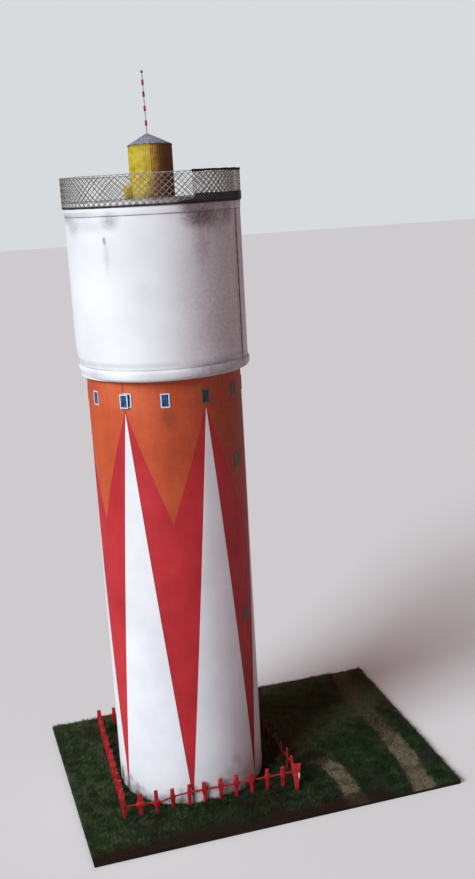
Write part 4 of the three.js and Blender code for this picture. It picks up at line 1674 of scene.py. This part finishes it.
yellow = yellowPaint()
wallColumns = cabin["ribs"] * cabin["ribColumns"]
wall = openTube(cabinRadius, wallColumns, cabinLow.z, lambda angle: cabinHigh.z + eavesRise(angle))
for corner in wall.data.vertices:
    wave = 0.5 + 0.5 * math.cos(math.radians(angleOf(corner.co) - facing) * cabin["ribs"])
    share = 1 - cabin["ribDepth"] * mm * (1 - wave) / cabinRadius
    corner.co.x = corner.co.x * share + cabinMiddle.x
    corner.co.y = corner.co.y * share + cabinMiddle.y
wall.data.update()
thicken(wall, cabin["wallThickness"] * mm)
smoothShade(wall, 60)
finishPiece(wall, "cabinWall", [yellow], ["cabin_wall"])

# Roof: grey paint stippled with dark and pale specks over thin card
roofGrey = thinCoat(
    "stippled lilac grey paint on card", 0.8,
    [(0.0, "4d4b57"), (0.35, "77768a"), (0.7, "9696a8"), (1.0, "b4b4c2")],
    (0.5, 0.06), (0.32, 0.68), 2.0, Roughness=0.7,
)
roofLow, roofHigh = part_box("cabin_roof")
rim = cabin["rimHeight"] * mm
bpy.ops.mesh.primitive_cone_add(
    vertices=cabin["roofSides"], radius1=(roofHigh.x - roofLow.x) / 2, radius2=cabin["roofTip"] * mm,
    depth=roofHigh.z - roofLow.z - rim, location=(0, 0, (roofLow.z + rim + roofHigh.z) / 2),
)
roof = bpy.context.object
placeInMesh(roof)
pick(roof, "FACE", lambda centre, normal: normal.z < -alongAxis)
bpy.ops.mesh.extrude_region_move(TRANSFORM_OT_translate={"value": (0, 0, -rim)})
bpy.ops.mesh.inset(thickness=cabin["rimWidth"] * mm)
bpy.ops.mesh.extrude_region_move(TRANSFORM_OT_translate={"value": (0, 0, rim / 2)})
leaveEdit()
roundEdges(roof, cabin["roofRound"] * mm, angle=50)
for corner in roof.data.vertices:
    share = min((roofHigh.z - corner.co.z) / (roofHigh.z - roofLow.z), 1)
    corner.co.z += share * eavesRise(angleOf(corner.co))
    corner.co.x += share * cabinMiddle.x
    corner.co.y += share * cabinMiddle.y
roof.data.update()
smoothShade(roof, 30)
finishPiece(roof, "cabinRoof", [roofGrey], ["cabin_roof"])

hatchAngle = angleOf(middleOf("cabin_hatch") - cabinMiddle)
width, reach, height = (cabin[key] * mm for key in ("hatchWidth", "hatchReach", "hatchHeight"))
hatch = boxAt((0, -reach / 2, height / 2), (width, reach, height))
pick(hatch, "EDGE", lambda middle, way: abs(way.y) > alongAxis and middle.z > height / 2)
bpy.ops.mesh.bevel(offset=width * cabin["hatchArch"], segments=cabin["archSteps"])
leaveEdit()
pick(hatch, "FACE", lambda centre, normal: normal.y < -alongAxis)
bpy.ops.mesh.inset(thickness=cabin["hatchFrame"] * mm)
bpy.ops.mesh.extrude_region_move(TRANSFORM_OT_translate={"value": (0, cabin["hatchPanel"] * mm, 0)})
leaveEdit()
roundEdges(hatch, cabin["hatchRound"] * mm, angle=50)
smoothShade(hatch)
foot = onTower(cabinRadius + cabin["hatchGap"] * mm, hatchAngle, deckHigh.z)
hatch.location = (cabinMiddle.x + foot.x, cabinMiddle.y + foot.y, foot.z)
hatch.rotation_euler.z = math.radians(hatchAngle)
finishPiece(hatch, "cabinHatch", [yellow], ["cabin_hatch"])
print("cabin ready")


# Mast: straightened white wire with five red sleeves

mast = {
    "sides": 16,
    "wireRadius": 0.28,
    "sleeveRadius": 0.55,
    "sleeveHeight": 2.4,
    "sleeveRound": 0.2,
    "roundSteps": 3,
    "sleeveCentres": [4.4, 10.9, 17.2, 22.4],  # and a fifth sleeve at the tip
    "lean": 0.9,  # degrees, towards -X
}
mastLow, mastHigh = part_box("mast")
mastHeight = (mastHigh.z - mastLow.z) / math.cos(math.radians(mast["lean"]))
sleeveRadius = mast["sleeveRadius"] * mm
sleeves = [(centre * mm, mast["sleeveHeight"] * mm) for centre in mast["sleeveCentres"]]
sleeves.append((mastHeight - sleeveRadius, 2 * sleeveRadius))
wireLength = mastHeight - sleeveRadius
bpy.ops.mesh.primitive_cylinder_add(
    vertices=mast["sides"], radius=mast["wireRadius"] * mm, depth=wireLength, location=(0, 0, wireLength / 2),
)
parts = [bpy.context.object]
for centre, height in sleeves:
    bpy.ops.mesh.primitive_cylinder_add(
        vertices=mast["sides"], radius=sleeveRadius, depth=height, location=(0, 0, centre),
    )
    sleeve = bpy.context.object
    placeInMesh(sleeve)
    roundEdges(sleeve, mast["sleeveRound"] * mm, mast["roundSteps"])
    parts.append(sleeve)

# Enamel on thin wire: half glossy, and thinner and duller in patches
whiteWire = thinCoat(
    "off white enamel on steel wire", 1.5, [(0.0, "8d8582"), (0.5, "b5aeab"), (1.0, "d2cdca")],
    (0.4, 0.02), Roughness=0.45,
)
sleeveRed = thinCoat(
    "dark red enamel on wire sleeves", 1.0, [(0.0, "741622"), (0.6, "9c2230"), (1.0, "b03a44")],
    (0.4, 0.02), Roughness=0.45,
)
for number, part in enumerate(parts):
    coat(part, [whiteWire, sleeveRed])
    paintFaces(part, lambda face: min(number, 1))
whip = joined(parts)
whip.rotation_euler.y = math.radians(-mast["lean"])
whip.location.z = mastLow.z
smoothShade(whip, 50)
finishPiece(whip, "mastWhip", [], ["mast"])
print("mast ready")

bpy.data.objects.remove(fibre)
bpy.data.objects.remove(grain)
